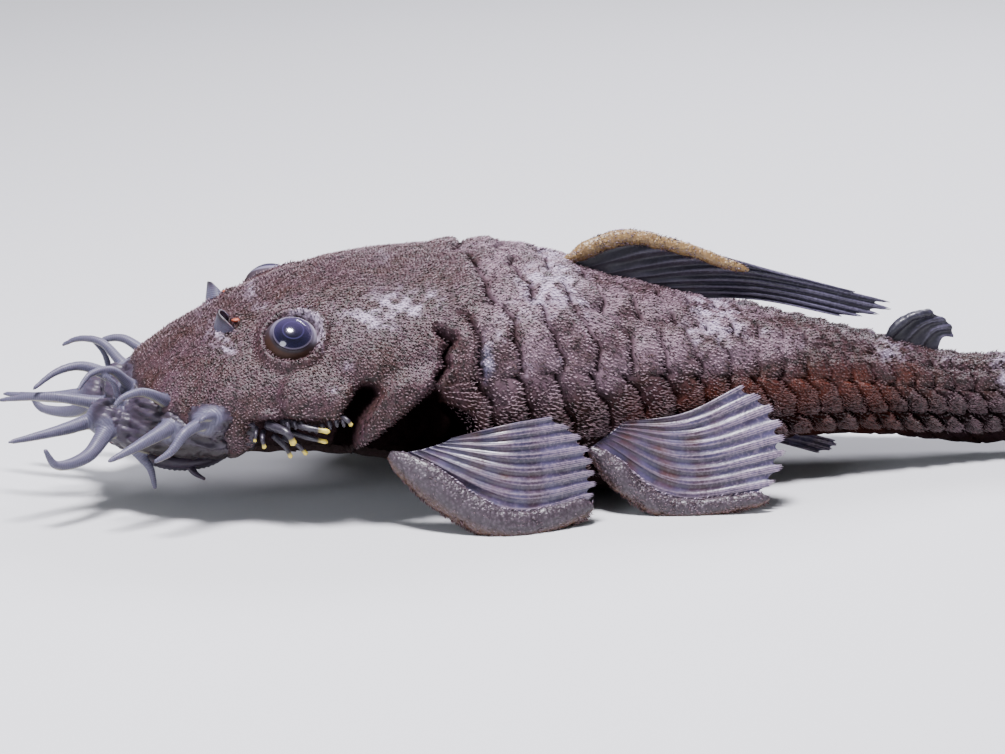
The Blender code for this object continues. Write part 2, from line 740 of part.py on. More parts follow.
def fin_sheet(name, rays, finish, model, samples=4, steps=5, notch=0.06, billow=0.0):
    """A fin of rays joined by a membrane, with each ray raised on both faces."""
    columns = (len(rays) - 1) * samples
    weights = {}

    def place(column, row):
        ray, between = divmod(column, samples)
        share = between / samples
        out = row / steps * tip_reach(column, samples, notch)
        point = along_curve(rays[ray], out)
        if between:
            point = point.lerp(along_curve(rays[ray + 1], out), share)
        point.y += billow * MM * math.sin(math.pi * share) * out
        return point

    bm = mapped_grid(columns, steps, place, weights)
    bmesh.ops.recalc_face_normals(bm, faces=bm.faces)
    bmesh.ops.triangulate(bm, faces=bm.faces, quad_method="SHORT_EDGE")
    fin = make_object(name, bm, finish, model)
    ridges = fin.vertex_groups.new(name="ridges")
    for index, (column, row) in weights.items():
        ridges.add([index], ridge_share(column, row, samples, steps), "REPLACE")
    wall = fin.modifiers.new("wall", "SOLIDIFY")
    wall.thickness = RAY_THICKNESS * MM
    wall.offset = 0.0
    wall.vertex_group = ridges.name
    bake_modifiers(fin)
    fin.vertex_groups.clear()
    turn_outwards(fin)
    return fin


def finish_fin(fin, pieces):
    """Join a fin's spine to it and cut it level with the floor."""
    if pieces:
        combine(fin, pieces, "UNION", "MANIFOLD")
    bm = bmesh.new()
    bm.from_mesh(fin.data)
    trim_to_floor(bm)
    bm.to_mesh(fin.data)
    bm.free()


def flank_rays(roots, middles, tips, flank, lift):
    """Rays of a paired fin, rooted on the skin of one flank."""
    rays = []
    for root, middle, tip in zip(roots, middles, tips):
        root_point = skin_point(root[0], -flank * root[1], lift)
        rays.append([root_point, mirrored(middle, flank), mirrored(tip, flank)])
    return rays


def spine_tube(ray, radii, steps=8, sides=8, start=SPINE_START):
    """The stout first ray of a fin, which starts just inside the sheet and ends past it."""
    root, middle, tip = ray
    run = [root.lerp(middle, start), middle, tip + (tip - middle) * SPINE_OVERSHOOT]
    return tube(run, radii[0], radii[1], steps, sides)


def make_paired_fins(model):
    """Breast and belly fins, spread, their spines lying on the floor."""
    for flank, side in ((-1, "left"), (1, "right")):
        lift = GAP + PECTORAL_SPINE[0]
        rays = flank_rays(PECTORAL_ROOTS, PECTORAL_MIDDLES, PECTORAL_TIPS, flank, lift)
        fin = fin_sheet("pectoral_fin_" + side, rays, "fin", model)
        finish_fin(fin, [spine_tube(rays[0], PECTORAL_SPINE)])
        lift = GAP + PLATE_RISE_HIND + PELVIC_SPINE[0]
        rays = flank_rays(PELVIC_ROOTS, PELVIC_MIDDLES, PELVIC_TIPS, flank, lift)
        fin = fin_sheet("pelvic_fin_" + side, rays, "fin", model)
        finish_fin(fin, [spine_tube(rays[0], PELVIC_SPINE)])


def middle_rays(roots, middles, tips, lean=0.0):
    """Rays near the middle plane, from (station, height) pairs, leaning at their tips."""
    rays = []
    for root, middle, tip in zip(roots, middles, tips):
        rays.append([
            posed(root[0], 0.0, root[1]),
            posed(middle[0], MIDDLE_LEAN * lean, middle[1]),
            posed(tip[0], lean, tip[1]),
        ])
    return rays


def back_roots(first, last, count, column=2, lift=GAP + FIN_FOOT):
    """Root places of a fin in the middle plane, clear of the back or the belly."""
    stations = [first + (last - first) * k / (count - 1) for k in range(count)]
    return [(station, section_value(column, station) + lift) for station in stations]


def make_dorsal_fin(model):
    """The back fin, folded down behind its arched spine."""
    roots = back_roots(*DORSAL_BASE, len(DORSAL_TIPS))
    rays = middle_rays(roots, DORSAL_MIDDLES, DORSAL_TIPS, DORSAL_LEAN)
    fin = fin_sheet("dorsal_fin", rays, "dark_fin", model, samples=3, steps=6, billow=0.25)
    finish_fin(fin, [spine_tube(rays[0], DORSAL_SPINE, start=0.09)])


def make_adipose_fin(model):
    """The small fin on the tail, a short spine with a thick membrane."""
    roots = back_roots(*ADIPOSE_BASE, len(ADIPOSE_TIPS))
    rays = middle_rays(roots, ADIPOSE_MIDDLES, ADIPOSE_TIPS)
    fin = fin_sheet("adipose_fin", rays, "dark_fin", model, samples=2, steps=4)
    finish_fin(fin, [spine_tube(rays[0], ADIPOSE_SPINE, 4, 6, start=0.15)])


def make_anal_fin(model):
    """The small fin under the tail, folded back along it."""
    roots = back_roots(*ANAL_BASE, len(ANAL_TIPS), column=4, lift=-GAP - 0.5 * FIN_FOOT)
    middles = [(0.5 * (r[0] + t[0]), 0.5 * (r[1] + t[1])) for r, t in zip(roots, ANAL_TIPS)]
    rays = middle_rays(roots, middles, ANAL_TIPS)
    finish_fin(fin_sheet("anal_fin", rays, "fin", model, samples=2, steps=4), [])


def make_caudal_fin(model):
    """The tail fin, half spread, its lower edge along the floor."""
    start = STANDARD_LENGTH + GAP
    top = section_value(2, STANDARD_LENGTH) - CAUDAL_INSET
    foot = section_value(4, STANDARD_LENGTH) + CAUDAL_INSET
    rays = []
    for k in range(CAUDAL_RAYS):
        share = k / (CAUDAL_RAYS - 1)
        root = foot + (top - foot) * share
        dent = CAUDAL_DENT * math.sin(math.pi * share)
        tip = [a + (b - a) * share for a, b in zip(CAUDAL_FOOT_TIP, CAUDAL_TOP_TIP)]
        middle = 0.5 * (tip[1] + root) if k else CAUDAL_FOOT_TIP[1]
        rays.append([
            posed(start, 0.0, root),
            posed(0.5 * (start + tip[0] - dent), MIDDLE_LEAN * CAUDAL_CURL, middle),
            posed(tip[0] - dent, CAUDAL_CURL, tip[1]),
        ])
    fin = fin_sheet("caudal_fin", rays, "fin", model, samples=3, steps=5)
    finish_fin(fin, [spine_tube(rays[0], CAUDAL_SPINE)])


def make_body(body, model):
    """Trunk and the two lengths of the tail, with their plates."""
    make_object("trunk", slice_between(body, HEAD_END, TRUNK_END), "skin", model)
    make_object("tail_front", slice_between(body, TRUNK_END, TAIL_MIDDLE), "skin", model)
    make_object("tail_rear", slice_between(body, TAIL_MIDDLE, None), "skin", model)


def main():
    """Clear the scene and build the animal."""
    for old in list(bpy.data.objects):
        bpy.data.objects.remove(old, do_unlink=True)
    model = bpy.data.collections.new("bristlenose_pleco")
    bpy.context.scene.collection.children.link(model)
    body = whole_body()
    make_snout(body, model)
    make_head(body, model)
    make_eyes(model)
    make_mouth(model)
    make_cheeks(model)
    make_gill_covers(model)
    make_body(body, model)
    make_dorsal_fin(model)
    make_adipose_fin(model)
    make_anal_fin(model)
    make_caudal_fin(model)
    make_paired_fins(model)
    body.free()


main()
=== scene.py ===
"""Looks of the bristlenose pleco: skin, coat of odontodes, bristles, rayed fins and eyes.

Lengths are in millimetres until a mesh is made, which is in metres. A place on the
body is a station behind the tip of the snout and an angle from the middle of the
back, which grows towards the animal's left, the -Y side, as in the part's source.
"""
import logging
import math
from dataclasses import dataclass, fields
from enum import Enum

import bmesh
import bpy
import numpy as np
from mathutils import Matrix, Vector


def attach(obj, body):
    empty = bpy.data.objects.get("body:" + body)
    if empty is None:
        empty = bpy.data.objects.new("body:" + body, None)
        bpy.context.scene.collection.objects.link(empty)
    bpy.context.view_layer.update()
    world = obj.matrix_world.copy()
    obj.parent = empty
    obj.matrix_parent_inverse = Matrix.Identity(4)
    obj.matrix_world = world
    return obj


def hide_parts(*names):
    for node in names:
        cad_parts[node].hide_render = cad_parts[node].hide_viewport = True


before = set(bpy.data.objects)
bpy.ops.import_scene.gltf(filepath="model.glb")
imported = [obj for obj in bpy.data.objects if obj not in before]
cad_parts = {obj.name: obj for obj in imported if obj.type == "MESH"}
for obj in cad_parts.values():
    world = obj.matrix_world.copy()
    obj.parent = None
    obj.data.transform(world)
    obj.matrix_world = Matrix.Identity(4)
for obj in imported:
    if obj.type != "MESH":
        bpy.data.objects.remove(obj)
LOG = logging.getLogger("pleco")

MM = 0.001
WELD = 0.002 * MM
ORIGIN_STATION = 57.0
BODY_LENGTH = 94.6
Array = np.ndarray
Socket = bpy.types.NodeSocket
Mesh = bmesh.types.BMesh
Piece = bpy.types.Object
Material = bpy.types.Material
Tree = bpy.types.NodeTree
Marks = dict[str, Array]


class Flank(Enum):
    """A side of the animal, with the sign of its Y."""

    LEFT = -1
    RIGHT = 1

    @property
    def tag(self) -> str:
        """The side's name as the nodes spell it."""
        return self.name.lower()

    @property
    def index(self) -> int:
        """The side's place in a pair, the left first."""
        return 0 if self is Flank.LEFT else 1

    @property
    def mirror(self) -> Array:
        """Factors that take a place given with a positive side to this side."""
        return np.array((1.0, float(self.value), 1.0))


# Small number helpers


def smooth_values(table: tuple, stations: Array) -> Array:
    """Read a table of (station, value) pairs on the source's smooth curve.

    Args:
        table: Pairs in rising order of station.
        stations: Where to read it.

    Returns:
        The values, flat beyond the table's ends.
    """
    xs, ys = np.array(table, float).T
    at = np.clip(np.asarray(stations, float), xs[0], xs[-1])
    slopes = np.diff(ys) / np.diff(xs)
    ends = np.concatenate([slopes[:1], 0.5 * (slopes[1:] + slopes[:-1]), slopes[-1:]])
    i = np.clip(np.searchsorted(xs, at, side="left") - 1, 0, len(xs) - 2)
    width = xs[i + 1] - xs[i]
    t = (at - xs[i]) / width
    return (
        (1 + 2 * t) * (1 - t) ** 2 * ys[i] + t * (1 - t) ** 2 * width * ends[i]
        + t * t * (3 - 2 * t) * ys[i + 1] + t * t * (t - 1) * width * ends[i + 1]
    )


def step(start: float, end: float, value: Array) -> Array:
    """Go smoothly from 0 at start to 1 at end, also where end is the lower one."""
    t = np.clip((value - start) / (end - start), 0.0, 1.0)
    return t * t * (3 - 2 * t)


def hump(distance: Array) -> Array:
    """A bell curve that is 1 at distance 0 and nearly gone at 2."""
    return np.exp(-distance * distance)


def unit(vectors: Array) -> Array:
    """Scale each row to length 1."""
    return vectors / np.maximum(np.linalg.norm(vectors, axis=-1, keepdims=True), 1e-9)


def ripple(points: Array, size: float, seed: int) -> Array:
    """Smooth seeded noise over points, about -1 to 1, with lumps of a size in mm."""
    rng = np.random.default_rng(seed)
    total = np.zeros(len(points))
    for _ in range(7):
        direction = unit(rng.normal(size=3)) * rng.uniform(0.7, 1.5) * math.pi / size
        total += np.sin(points @ direction + rng.uniform(0, 2 * math.pi))
    return total / 2.6


def scatter_hash(*values: Array) -> Array:
    """A fixed number from 0 to 1 for each set of whole numbers."""
    mixed = sum(value * factor for value, factor in zip(values, (12.9898, 78.233, 37.719)))
    return np.abs(np.sin(mixed) * 43758.5453) % 1.0


def polyline_distance(points: Array, line: tuple) -> Array:
    """Distance of each 2-D point from a polyline."""
    best = np.full(len(points), 1e9)
    for a, b in zip(np.array(line[:-1], float), np.array(line[1:], float)):
        t = np.clip(((points - a) @ (b - a)) / ((b - a) @ (b - a)), 0, 1)
        best = np.minimum(best, np.linalg.norm(points - a - t[:, None] * (b - a), axis=1))
    return best


def curve_points(knots: tuple, t: Array) -> Array:
    """Points on the source's smooth curve through three or more knots, t from 0 to 1."""
    knots = np.array(knots, float)
    spans = len(knots) - 1
    i = np.minimum((t * spans).astype(int), spans - 1)
    f = (t * spans - i)[:, None]
    b, c = knots[i], knots[i + 1]
    start = (c - knots[np.maximum(i - 1, 0)]) * np.where(i > 0, 0.5, 1.0)[:, None]
    end = (knots[np.minimum(i + 2, spans)] - b) * np.where(i + 2 <= spans, 0.5, 1.0)[:, None]
    return (
        b * ((1 + 2 * f) * (1 - f) ** 2) + start * (f * (1 - f) ** 2)
        + c * (f * f * (3 - 2 * f)) + end * (f * f * (f - 1))
    )


def arc_lengths(line: Array) -> Array:
    """How far along a line of points each one lies."""
    return np.concatenate([[0], np.cumsum(np.linalg.norm(np.diff(line, axis=0), axis=1))])


def round_end(t: Array, end: float, length: float) -> Array:
    """A share from 1 down to 0 that rounds a shape off at the end of t."""
    return np.sqrt(np.clip((end - t) / length, 0, 1))


# Meshes


def grid_bmesh(columns: int, rows: int) -> tuple[Mesh, Array, Array]:
    """A flat grid, with the column and row number of each of its points."""
    bm = bmesh.new()
    bmesh.ops.create_grid(bm, x_segments=columns, y_segments=rows, size=0.5)
    flat = np.array([vert.co[:2] for vert in bm.verts]) + 0.5
    return bm, np.rint(flat[:, 0] * columns).astype(int), np.rint(flat[:, 1] * rows).astype(int)


def ball_bmesh(columns: int, rows: int, radius: float = 1.0) -> tuple[Mesh, Array]:
    """A ball, with its points."""
    bm = bmesh.new()
    bmesh.ops.create_uvsphere(bm, u_segments=columns, v_segments=rows, radius=radius)
    return bm, bmesh_points(bm)


def bmesh_points(bm: Mesh) -> Array:
    """A bmesh's points in its own unit."""
    return np.array([vert.co[:] for vert in bm.verts])


def close_up(bm: Mesh) -> None:
    """Weld seams and poles, fill open ends and turn the faces outwards."""
    bmesh.ops.remove_doubles(bm, verts=bm.verts, dist=WELD)
    bmesh.ops.holes_fill(bm, edges=[edge for edge in bm.edges if edge.is_boundary], sides=0)
    bmesh.ops.recalc_face_normals(bm, faces=bm.faces)


def shape_points(bm: Mesh, points: Array, marks: Marks | None = None) -> None:
    """Set a bmesh's points, given in mm, and its named marks."""
    for vert, place in zip(bm.verts, points * MM):
        vert.co = place
    for name, values in (marks or {}).items():
        layer = bm.verts.layers.float.new(name)
        for vert, value in zip(bm.verts, values):
            vert[layer] = float(value)


def place_object(name: str, data: bpy.types.ID) -> Piece:
    """Put a mesh, a lamp or a camera into the scene."""
    thing = bpy.data.objects.new(name, data)
    bpy.context.scene.collection.objects.link(thing)
    return thing


def piece_from(name: str, bm: Mesh, finish: Material) -> Piece:
    """Turn a bmesh into a smooth-shaded piece of the model."""
    mesh = bpy.data.meshes.new(name)
    bm.to_mesh(mesh)
    bm.free()
    mesh.materials.append(finish)
    mesh.shade_smooth()
    return place_object(name, mesh)


def bake_modifiers(piece: Piece) -> None:
    """Replace a piece's mesh by the one that its modifiers give."""
    graph = bpy.context.evaluated_depsgraph_get()
    baked = bpy.data.meshes.new_from_object(piece.evaluated_get(graph))
    piece.modifiers.clear()
    piece.data = baked
    baked.shade_smooth()


def move_points(piece: Piece, points: Array) -> None:
    """Move a piece's points to places in mm."""
    piece.data.vertices.foreach_set("co", (points * MM).astype(np.float32).ravel())


def set_marks(piece: Piece, marks: Marks) -> None:
    """Write named marks, one number a point, on a finished mesh."""
    for name, values in marks.items():
        old = piece.data.attributes.get(name)
        if old:
            piece.data.attributes.remove(old)
        layer = piece.data.attributes.new(name, "FLOAT", "POINT")
        layer.data.foreach_set("value", np.asarray(values, np.float32))


def mesh_points(piece: Piece) -> Array:
    """A piece's points in mm."""
    flat = np.empty(len(piece.data.vertices) * 3, np.float32)
    piece.data.vertices.foreach_get("co", flat)
    return flat.reshape(-1, 3).astype(float) / MM


def settle(piece: Piece, slot: str, *nodes: str) -> Piece:
    """Fix a finished piece to the model's one body and hide the nodes it stands for."""
    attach(piece, "root")
    if nodes:
        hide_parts(*nodes)
    piece.data.calc_loop_triangles()
    LOG.info("%s: %d triangles", piece.name, len(piece.data.loop_triangles))
    return piece


def tube_bmesh(
    line: Array, radii: Array, sides: int, flat: float = 1.0, marks: Marks | None = None
) -> Mesh:
    """A closed tube along a line of points.

    Args:
        line: Points along the middle.
        radii: The radius at each of them.
        sides: Faces round it.
        flat: Height of its section as a share of its width, 1 for round.
        marks: Named numbers, one for each point of the line.

    Returns:
        The tube's bmesh, in metres.
    """
    bm, corner, ring = grid_bmesh(sides, len(line) - 1)
    along = unit(np.gradient(line, axis=0))
    across = unit(np.cross(along, (0.0, 0.0, 1.0)))
    upright = np.cross(across, along)
    angle = corner * 2 * math.pi / sides
    offset = across[ring] * np.cos(angle)[:, None] + upright[ring] * (flat * np.sin(angle))[:, None]
    named = {name: np.asarray(values)[ring] for name, values in (marks or {}).items()}
    shape_points(bm, line[ring] + offset * np.asarray(radii)[ring][:, None], named)
    close_up(bm)
    return bm


def join_bmeshes(parts: list[Mesh]) -> Mesh:
    """Put several bmeshes with the same marks into one."""
    whole = parts[0]
    for part in parts[1:]:
        mesh = bpy.data.meshes.new("part")
        part.to_mesh(mesh)
        part.free()
        whole.from_mesh(mesh)
        bpy.data.meshes.remove(mesh)
    return whole


# Finishes


def linear(colour: str) -> tuple[float, float, float, float]:
    """Turn an sRGB hex colour into linear light."""
    parts = [int(colour[i : i + 2], 16) / 255 for i in (1, 3, 5)]
    red, green, blue = [c / 12.92 if c <= 0.04045 else ((c + 0.055) / 1.055) ** 2.4 for c in parts]
    return red, green, blue, 1.0


def add(
    tree: Tree, kind: str, inputs: dict | tuple = (), output: int | str = 0, **settings
) -> Socket | None:
    """Add a shader node with its settings and links.

    Args:
        tree: The material's nodes.
        kind: The node's type without its ShaderNode prefix.
        inputs: A socket to link, a hex colour or a value, for each input by name or number or,
            in a tuple, for the node's first inputs in its own order.
        output: The output to return, by name or number.
        **settings: The node's own settings.

    Returns:
        The output, or nothing if the node has none.
    """
    node = tree.nodes.new("ShaderNode" + kind)
    for name, value in settings.items():
        setattr(node, name, value)
    for key, value in inputs.items() if isinstance(inputs, dict) else enumerate(inputs):
        if isinstance(value, Socket):
            tree.links.new(value, node.inputs[key])
        else:
            node.inputs[key].default_value = linear(value) if isinstance(value, str) else value
    return node.outputs[output] if node.outputs else None


def new_finish(name: str, *marks: str) -> tuple[Material, Tree, Socket, list[Socket]]:
    """Start a material that reads marks of the mesh.

    Args:
        name: The material's name.
        *marks: The marks' names.

    Returns:
        The material, its nodes, the place in millimetres and the marks.
    """
    finish = bpy.data.materials.new(name)
    finish.use_nodes = True
    tree = finish.node_tree
    tree.nodes.clear()
    metres = add(tree, "TexCoord", output="Object")
    place = add(tree, "Mapping", {"Vector": metres, "Scale": (1 / MM,) * 3})
    held = [
        add(tree, "Attribute", (), "Fac", attribute_name=mark, attribute_type="GEOMETRY")
        for mark in marks
    ]
    return finish, tree, place, held


def close_finish(tree: Tree, surface: dict, relief: tuple | None = None) -> None:
    """End a material in a physical surface.

    Args:
        tree: The material's nodes.
        surface: The surface's inputs.
        relief: The height, its depth in mm and its strength, or nothing for a smooth surface.
    """
    if relief:
        height, depth, strength = relief
        bump = add(tree, "Bump", {"Height": height, "Distance": depth * MM, "Strength": strength})
        surface = surface | {"Normal": bump}
    add(tree, "OutputMaterial", {"Surface": add(tree, "BsdfPrincipled", surface)})


@dataclass(frozen=True)
class LivingSkin:
    """Armoured catfish skin, grown bone under thin wet skin: matt brown-mauve with pale mottles, painted
    sheen on the upper trunk and painted shade in its gaps and between the spikes of its coat.
    """

    name: str = "armoured_wet_skin"
    deep: str = "#120907"
    brown: str = "#3c211b"
    mauve: str = "#4c333d"
    # pale of the mottles; on the trunk partly a painted highlight
    pale: str = "#cdbdd6"
    rust: str = "#45190c"
    slate: str = "#3b4560"
    # colour of the painted sheen on the upper trunk
    bright: str = "#88707e"
    naked: str = "#332b37"
    # colour of the painted shade in gaps, seams, the low flank and under the tail
    hollow: str = "#060303"
    belly: str = "#2c1f1e"
    mottle_mm: float = 3.2
    grain_mm: float = 0.55
    granule_mm: float = 0.34
    pore_mm: float = 0.16
    relief_mm: float = 0.1
    roughness: float = 0.42
    # painted shade of the skin seen between the coat's spikes
    shade_under_coat: float = 0.3
    light_hold: float = 0.5

    def colour(self, tree: Tree, place: Socket) -> Socket:
        """Mix the markings that skin and coat share, from marks on the mesh and noise in space.

        Args:
            tree: The material's nodes.
            place: The place in millimetres.

        Returns:
            The colour.
        """
        lumps = {"Vector": place, "Scale": 1 / self.mottle_mm, "Detail": 4.0, "Roughness": 0.62}
        mottle = add(tree, "TexNoise", lumps)
        grain = add(tree, "TexNoise", {"Vector": place, "Scale": 1 / self.grain_mm, "Detail": 2.0})
        patched = add(tree, "MapRange", (mottle, 0.36, 0.66))
        colour = add(tree, "Mix", {0: patched, 6: self.brown, 7: self.mauve}, 2, data_type="RGBA")
        # specks of a darker tone, and on the skin a further painted shade between the coat's spikes
        speck = add(tree, "MapRange", (grain, 0.34, 0.56, 0.85, self.shade_under_coat))
        colour = add(tree, "Mix", {0: speck, 6: colour, 7: self.deep}, 2, data_type="RGBA")
        ragged = add(tree, "MapRange", (grain, 0.3, 0.7, -0.45, 0.45))
        # each mark with its colour, how ragged its border is and how much of it shows; the first is a
        # painted sheen, pale is partly painted highlight and the last is painted shade
        marks = (
            ("bright", self.bright, 0.7, self.light_hold), ("slate", self.slate, 0.9, 1.0),
            ("rust", self.rust, 0.6, 1.0), ("pale", self.pale, 1.9, self.light_hold),
            ("naked", self.naked, 0.2, 1.0), ("belly", self.belly, 0.2, 1.0),
            ("hollow", self.hollow, 0.1, 1.0),
        )
        for mark, shade, raggedness, hold in marks:
            held = add(tree, "Attribute", (), "Fac", attribute_name=mark, attribute_type="GEOMETRY")
            broken = add(tree, "Math", (ragged, raggedness, held), operation="MULTIPLY_ADD")
            share = add(tree, "Math", (broken, held), operation="MULTIPLY", use_clamp=True)
            share = add(tree, "Math", (share, hold), operation="MULTIPLY")
            colour = add(tree, "Mix", {0: share, 6: colour, 7: shade}, 2, data_type="RGBA")
        return colour

    def make(self) -> Material:
        """Build the skin's material: granules of bone in relief under the colour."""
        finish, tree, place, (hollow,) = new_finish(self.name, "hollow")
        granules = add(tree, "TexVoronoi", {"Vector": place, "Scale": 1 / self.granule_mm}, feature="F1")
        pores = add(tree, "TexNoise", {"Vector": place, "Scale": 1 / self.pore_mm, "Detail": 3.0})
        relief = add(tree, "Math", (granules, -0.7, pores), operation="MULTIPLY_ADD")
        rough = add(tree, "MapRange", (pores, 0.3, 0.7, self.roughness - 0.08, self.roughness + 0.12))
        close_finish(tree, {
            "Base Color": self.colour(tree, place), "IOR": 1.4,
            # in the painted shade the skin is also rougher and reflects less
            "Roughness": add(tree, "Math", (hollow, 0.5, rough), operation="MULTIPLY_ADD"),
            "Specular IOR Level": add(tree, "Math", (hollow, -0.5, 0.5), operation="MULTIPLY_ADD"),
        }, (relief, self.relief_mm, 0.8))
        return finish


@dataclass(frozen=True)
class OdontodeCoat(LivingSkin):
    """Tiny skin teeth of dentine and enamel: the skin's colours, glossier at their tips, with a painted
    glint at the tip and painted shade at the root.
    """

    name: str = "odontode_enamel"
    shade_under_coat: float = 0.0
    light_hold: float = 1.0
    # the tip colour is a painted glint, the root colour painted shade
    tip: str = "#b0929a"
    root: str = "#120b0c"

    def make(self) -> Material:
        """Build the coat's material from the skin's markings, with painted shade at the root and a painted
        glint at the tip.
        """
        finish, tree, place, (out, shine) = new_finish(self.name, "out", "shine")
        # painted shade at the spike's root and a painted glint towards its tip, scaled by shine
        foot = add(tree, "MapRange", (out, 0.0, 0.4, 0.8, 0.0))
        glint = add(tree, "MapRange", (out, 0.25, 0.9, 0.0, 0.7))
        glint = add(tree, "Math", (glint, shine), operation="MULTIPLY", use_clamp=True)
        colour = self.colour(tree, place)
        for share, shade in ((foot, self.root), (glint, self.tip)):
            colour = add(tree, "Mix", {0: share, 6: colour, 7: shade}, 2, data_type="RGBA")
        rough = add(tree, "MapRange", (out, 0.0, 1.0, 0.5, 0.3))
        close_finish(tree, {"Base Color": colour, "Roughness": rough, "IOR": 1.55})
        return finish


@dataclass(frozen=True)
class NakedSkin:
    """Naked snout skin, soft and finely ringed: satin lavender-grey with paler rings, tan painted light
    along the bristles' undersides and painted shade under the snout.
    """

    name: str = "naked_snout_skin"
    lavender: str = "#4e4b5e"
    snout: str = "#443c4c"
    grey: str = "#2c242f"
    dark: str = "#1b1215"
    pale: str = "#8d8fa2"
    # tan of the painted light on the bristles' undersides
    edge: str = "#8c8763"
    ring_mm: float = 0.21
    cloud_mm: float = 1.6
    grain_mm: float = 0.22
    relief_mm: float = 0.03

    def make(self) -> Material:
        """Build the material: rings across the bristles, cloudy shades and a fine grain."""
        marks = ("along", "bristle", "shade", "edge")
        finish, tree, place, (along, bristle, shaded, edge) = new_finish(self.name, *marks)
        lumps = {"Vector": place, "Scale": 1 / self.cloud_mm, "Detail": 4.0, "Roughness": 0.6}
        cloud = add(tree, "TexNoise", lumps)
        turn = add(tree, "Math", (along, 2 * math.pi / self.ring_mm), operation="MULTIPLY")
        wave = add(tree, "Math", (turn,), operation="SINE")
        rings = add(tree, "Math", (wave, bristle), operation="MULTIPLY")
        tint = add(tree, "MapRange", (rings, 0.1, 1.0, 0.0, 0.14))
        colour = add(tree, "Mix", {0: cloud, 6: self.grey, 7: self.snout}, 2, data_type="RGBA")
        # shade darkens with painted shade under the snout and with the skin's own darker tone elsewhere
        layers = ((bristle, self.lavender), (tint, self.pale), (shaded, self.dark), (edge, self.edge))
        for share, shade in layers:
            colour = add(tree, "Mix", {0: share, 6: colour, 7: shade}, 2, data_type="RGBA")
        grain = add(tree, "TexNoise", {"Vector": place, "Scale": 1 / self.grain_mm, "Detail": 2.0})
        relief = add(tree, "Math", (rings, 0.5, grain), operation="MULTIPLY_ADD")
        close_finish(tree, {
            "Base Color": colour, "Roughness": 0.46, "IOR": 1.4,
            "Coat Weight": 0.08, "Coat Roughness": 0.25, "Subsurface Weight": 0.12,
            "Subsurface Radius": (1.0, 0.5, 0.4), "Subsurface Scale": 0.8 * MM,
        }, (relief, self.relief_mm, 0.7))
        return finish


@dataclass(frozen=True)
class FinSkin:
    """Fin of bony rays in thin skin: lilac beaded rays over a dark bluish membrane, the rays' paleness
    partly their own colour and partly a painted highlight along their ridges.
    """

    name: str = "fin_rays_and_membrane"
    membrane: str = "#2a253a"
    stripe: str = "#3b2226"
    ray: str = "#9c8b9c"
    root: str = "#352b35"
    haze: str = "#554e70"
    roughness: float = 0.36
    cloud_mm: float = 2.2
    grain_mm: float = 0.3
    relief_mm: float = 0.05

    def make(self) -> Material:
        """Build the material from the fin's marks: ray, out and stripe."""
        finish, tree, place, (ray, out, stripe) = new_finish(self.name, "ray", "out", "stripe")
        lumps = {"Vector": place, "Scale": 1 / self.cloud_mm, "Detail": 4.0, "Roughness": 0.6}
        cloud = add(tree, "TexNoise", lumps)
        grain = add(tree, "TexNoise", {"Vector": place, "Scale": 1 / self.grain_mm, "Detail": 2.0})
        hazy = add(tree, "MapRange", (cloud, 0.42, 0.7, 0.0, 0.5))
        bead = add(tree, "MapRange", (grain, 0.3, 0.7, -0.25, 0.25))
        # the rays are painted paler: their own colour and a painted highlight along the beaded ridges
        lit = add(tree, "Math", (ray, bead), operation="ADD", use_clamp=True)
        tone = add(tree, "Mix", {0: out, 6: self.root, 7: self.ray}, 2, data_type="RGBA")
        colour = add(tree, "Mix", {0: stripe, 6: self.membrane, 7: self.stripe}, 2, data_type="RGBA")
        for share, shade in ((hazy, self.haze), (lit, tone)):
            colour = add(tree, "Mix", {0: share, 6: colour, 7: shade}, 2, data_type="RGBA")
        close_finish(tree, {
            "Base Color": colour, "Roughness": self.roughness, "IOR": 1.45,
            "Coat Weight": 0.25, "Coat Roughness": 0.2,
        }, (grain, self.relief_mm, 0.6))
        return finish


@dataclass(frozen=True)
class SpineSheath:
    """Fin spine in thick skin: satin slate-lilac with small pits and a warmer lower edge."""

    name: str = "fin_spine_sheath"
    body: str = "#251c22"
    light: str = "#41363f"
    edge: str = "#4a3020"
    dot: str = "#6a5c68"
    pit_mm: float = 1.1
    granule_mm: float = 0.36
    cloud_mm: float = 1.3
    grain_mm: float = 0.2
    relief_mm: float = 0.11

    def make(self) -> Material:
        """Build the material: cloudy body, granules and pits, and the mark lower for the edge."""
        finish, tree, place, (lower,) = new_finish(self.name, "lower")
        lumps = {"Vector": place, "Scale": 1 / self.cloud_mm, "Detail": 4.0, "Roughness": 0.6}
        cloud = add(tree, "TexNoise", lumps)
        grain = add(tree, "TexNoise", {"Vector": place, "Scale": 1 / self.grain_mm, "Detail": 2.0})
        pits, granules = (
            add(tree, "TexVoronoi", {"Vector": place, "Scale": 1 / size}, feature="F1")
            for size in (self.pit_mm, self.granule_mm)
        )
        hole = add(tree, "MapRange", (pits, 0.1, 0.35, -0.6, 0.0))
        raised = add(tree, "MapRange", (granules, 0.1, 0.6, 1.0, 0.0))
        dotted = add(tree, "Math", (raised, 0.4), operation="MULTIPLY")
        colour = add(tree, "Mix", {0: cloud, 6: self.body, 7: self.light}, 2, data_type="RGBA")
        for share, shade in ((lower, self.edge), (dotted, self.dot)):
            colour = add(tree, "Mix", {0: share, 6: colour, 7: shade}, 2, data_type="RGBA")
        rough = add(tree, "Math", (raised, 0.8, grain), operation="MULTIPLY_ADD")
        relief = add(tree, "Math", (rough, hole), operation="ADD")
        close_finish(tree, {
            "Base Color": colour, "Roughness": 0.4, "IOR": 1.45,
            "Coat Weight": 0.2, "Coat Roughness": 0.25,
        }, (relief, self.relief_mm, 0.8))
        return finish


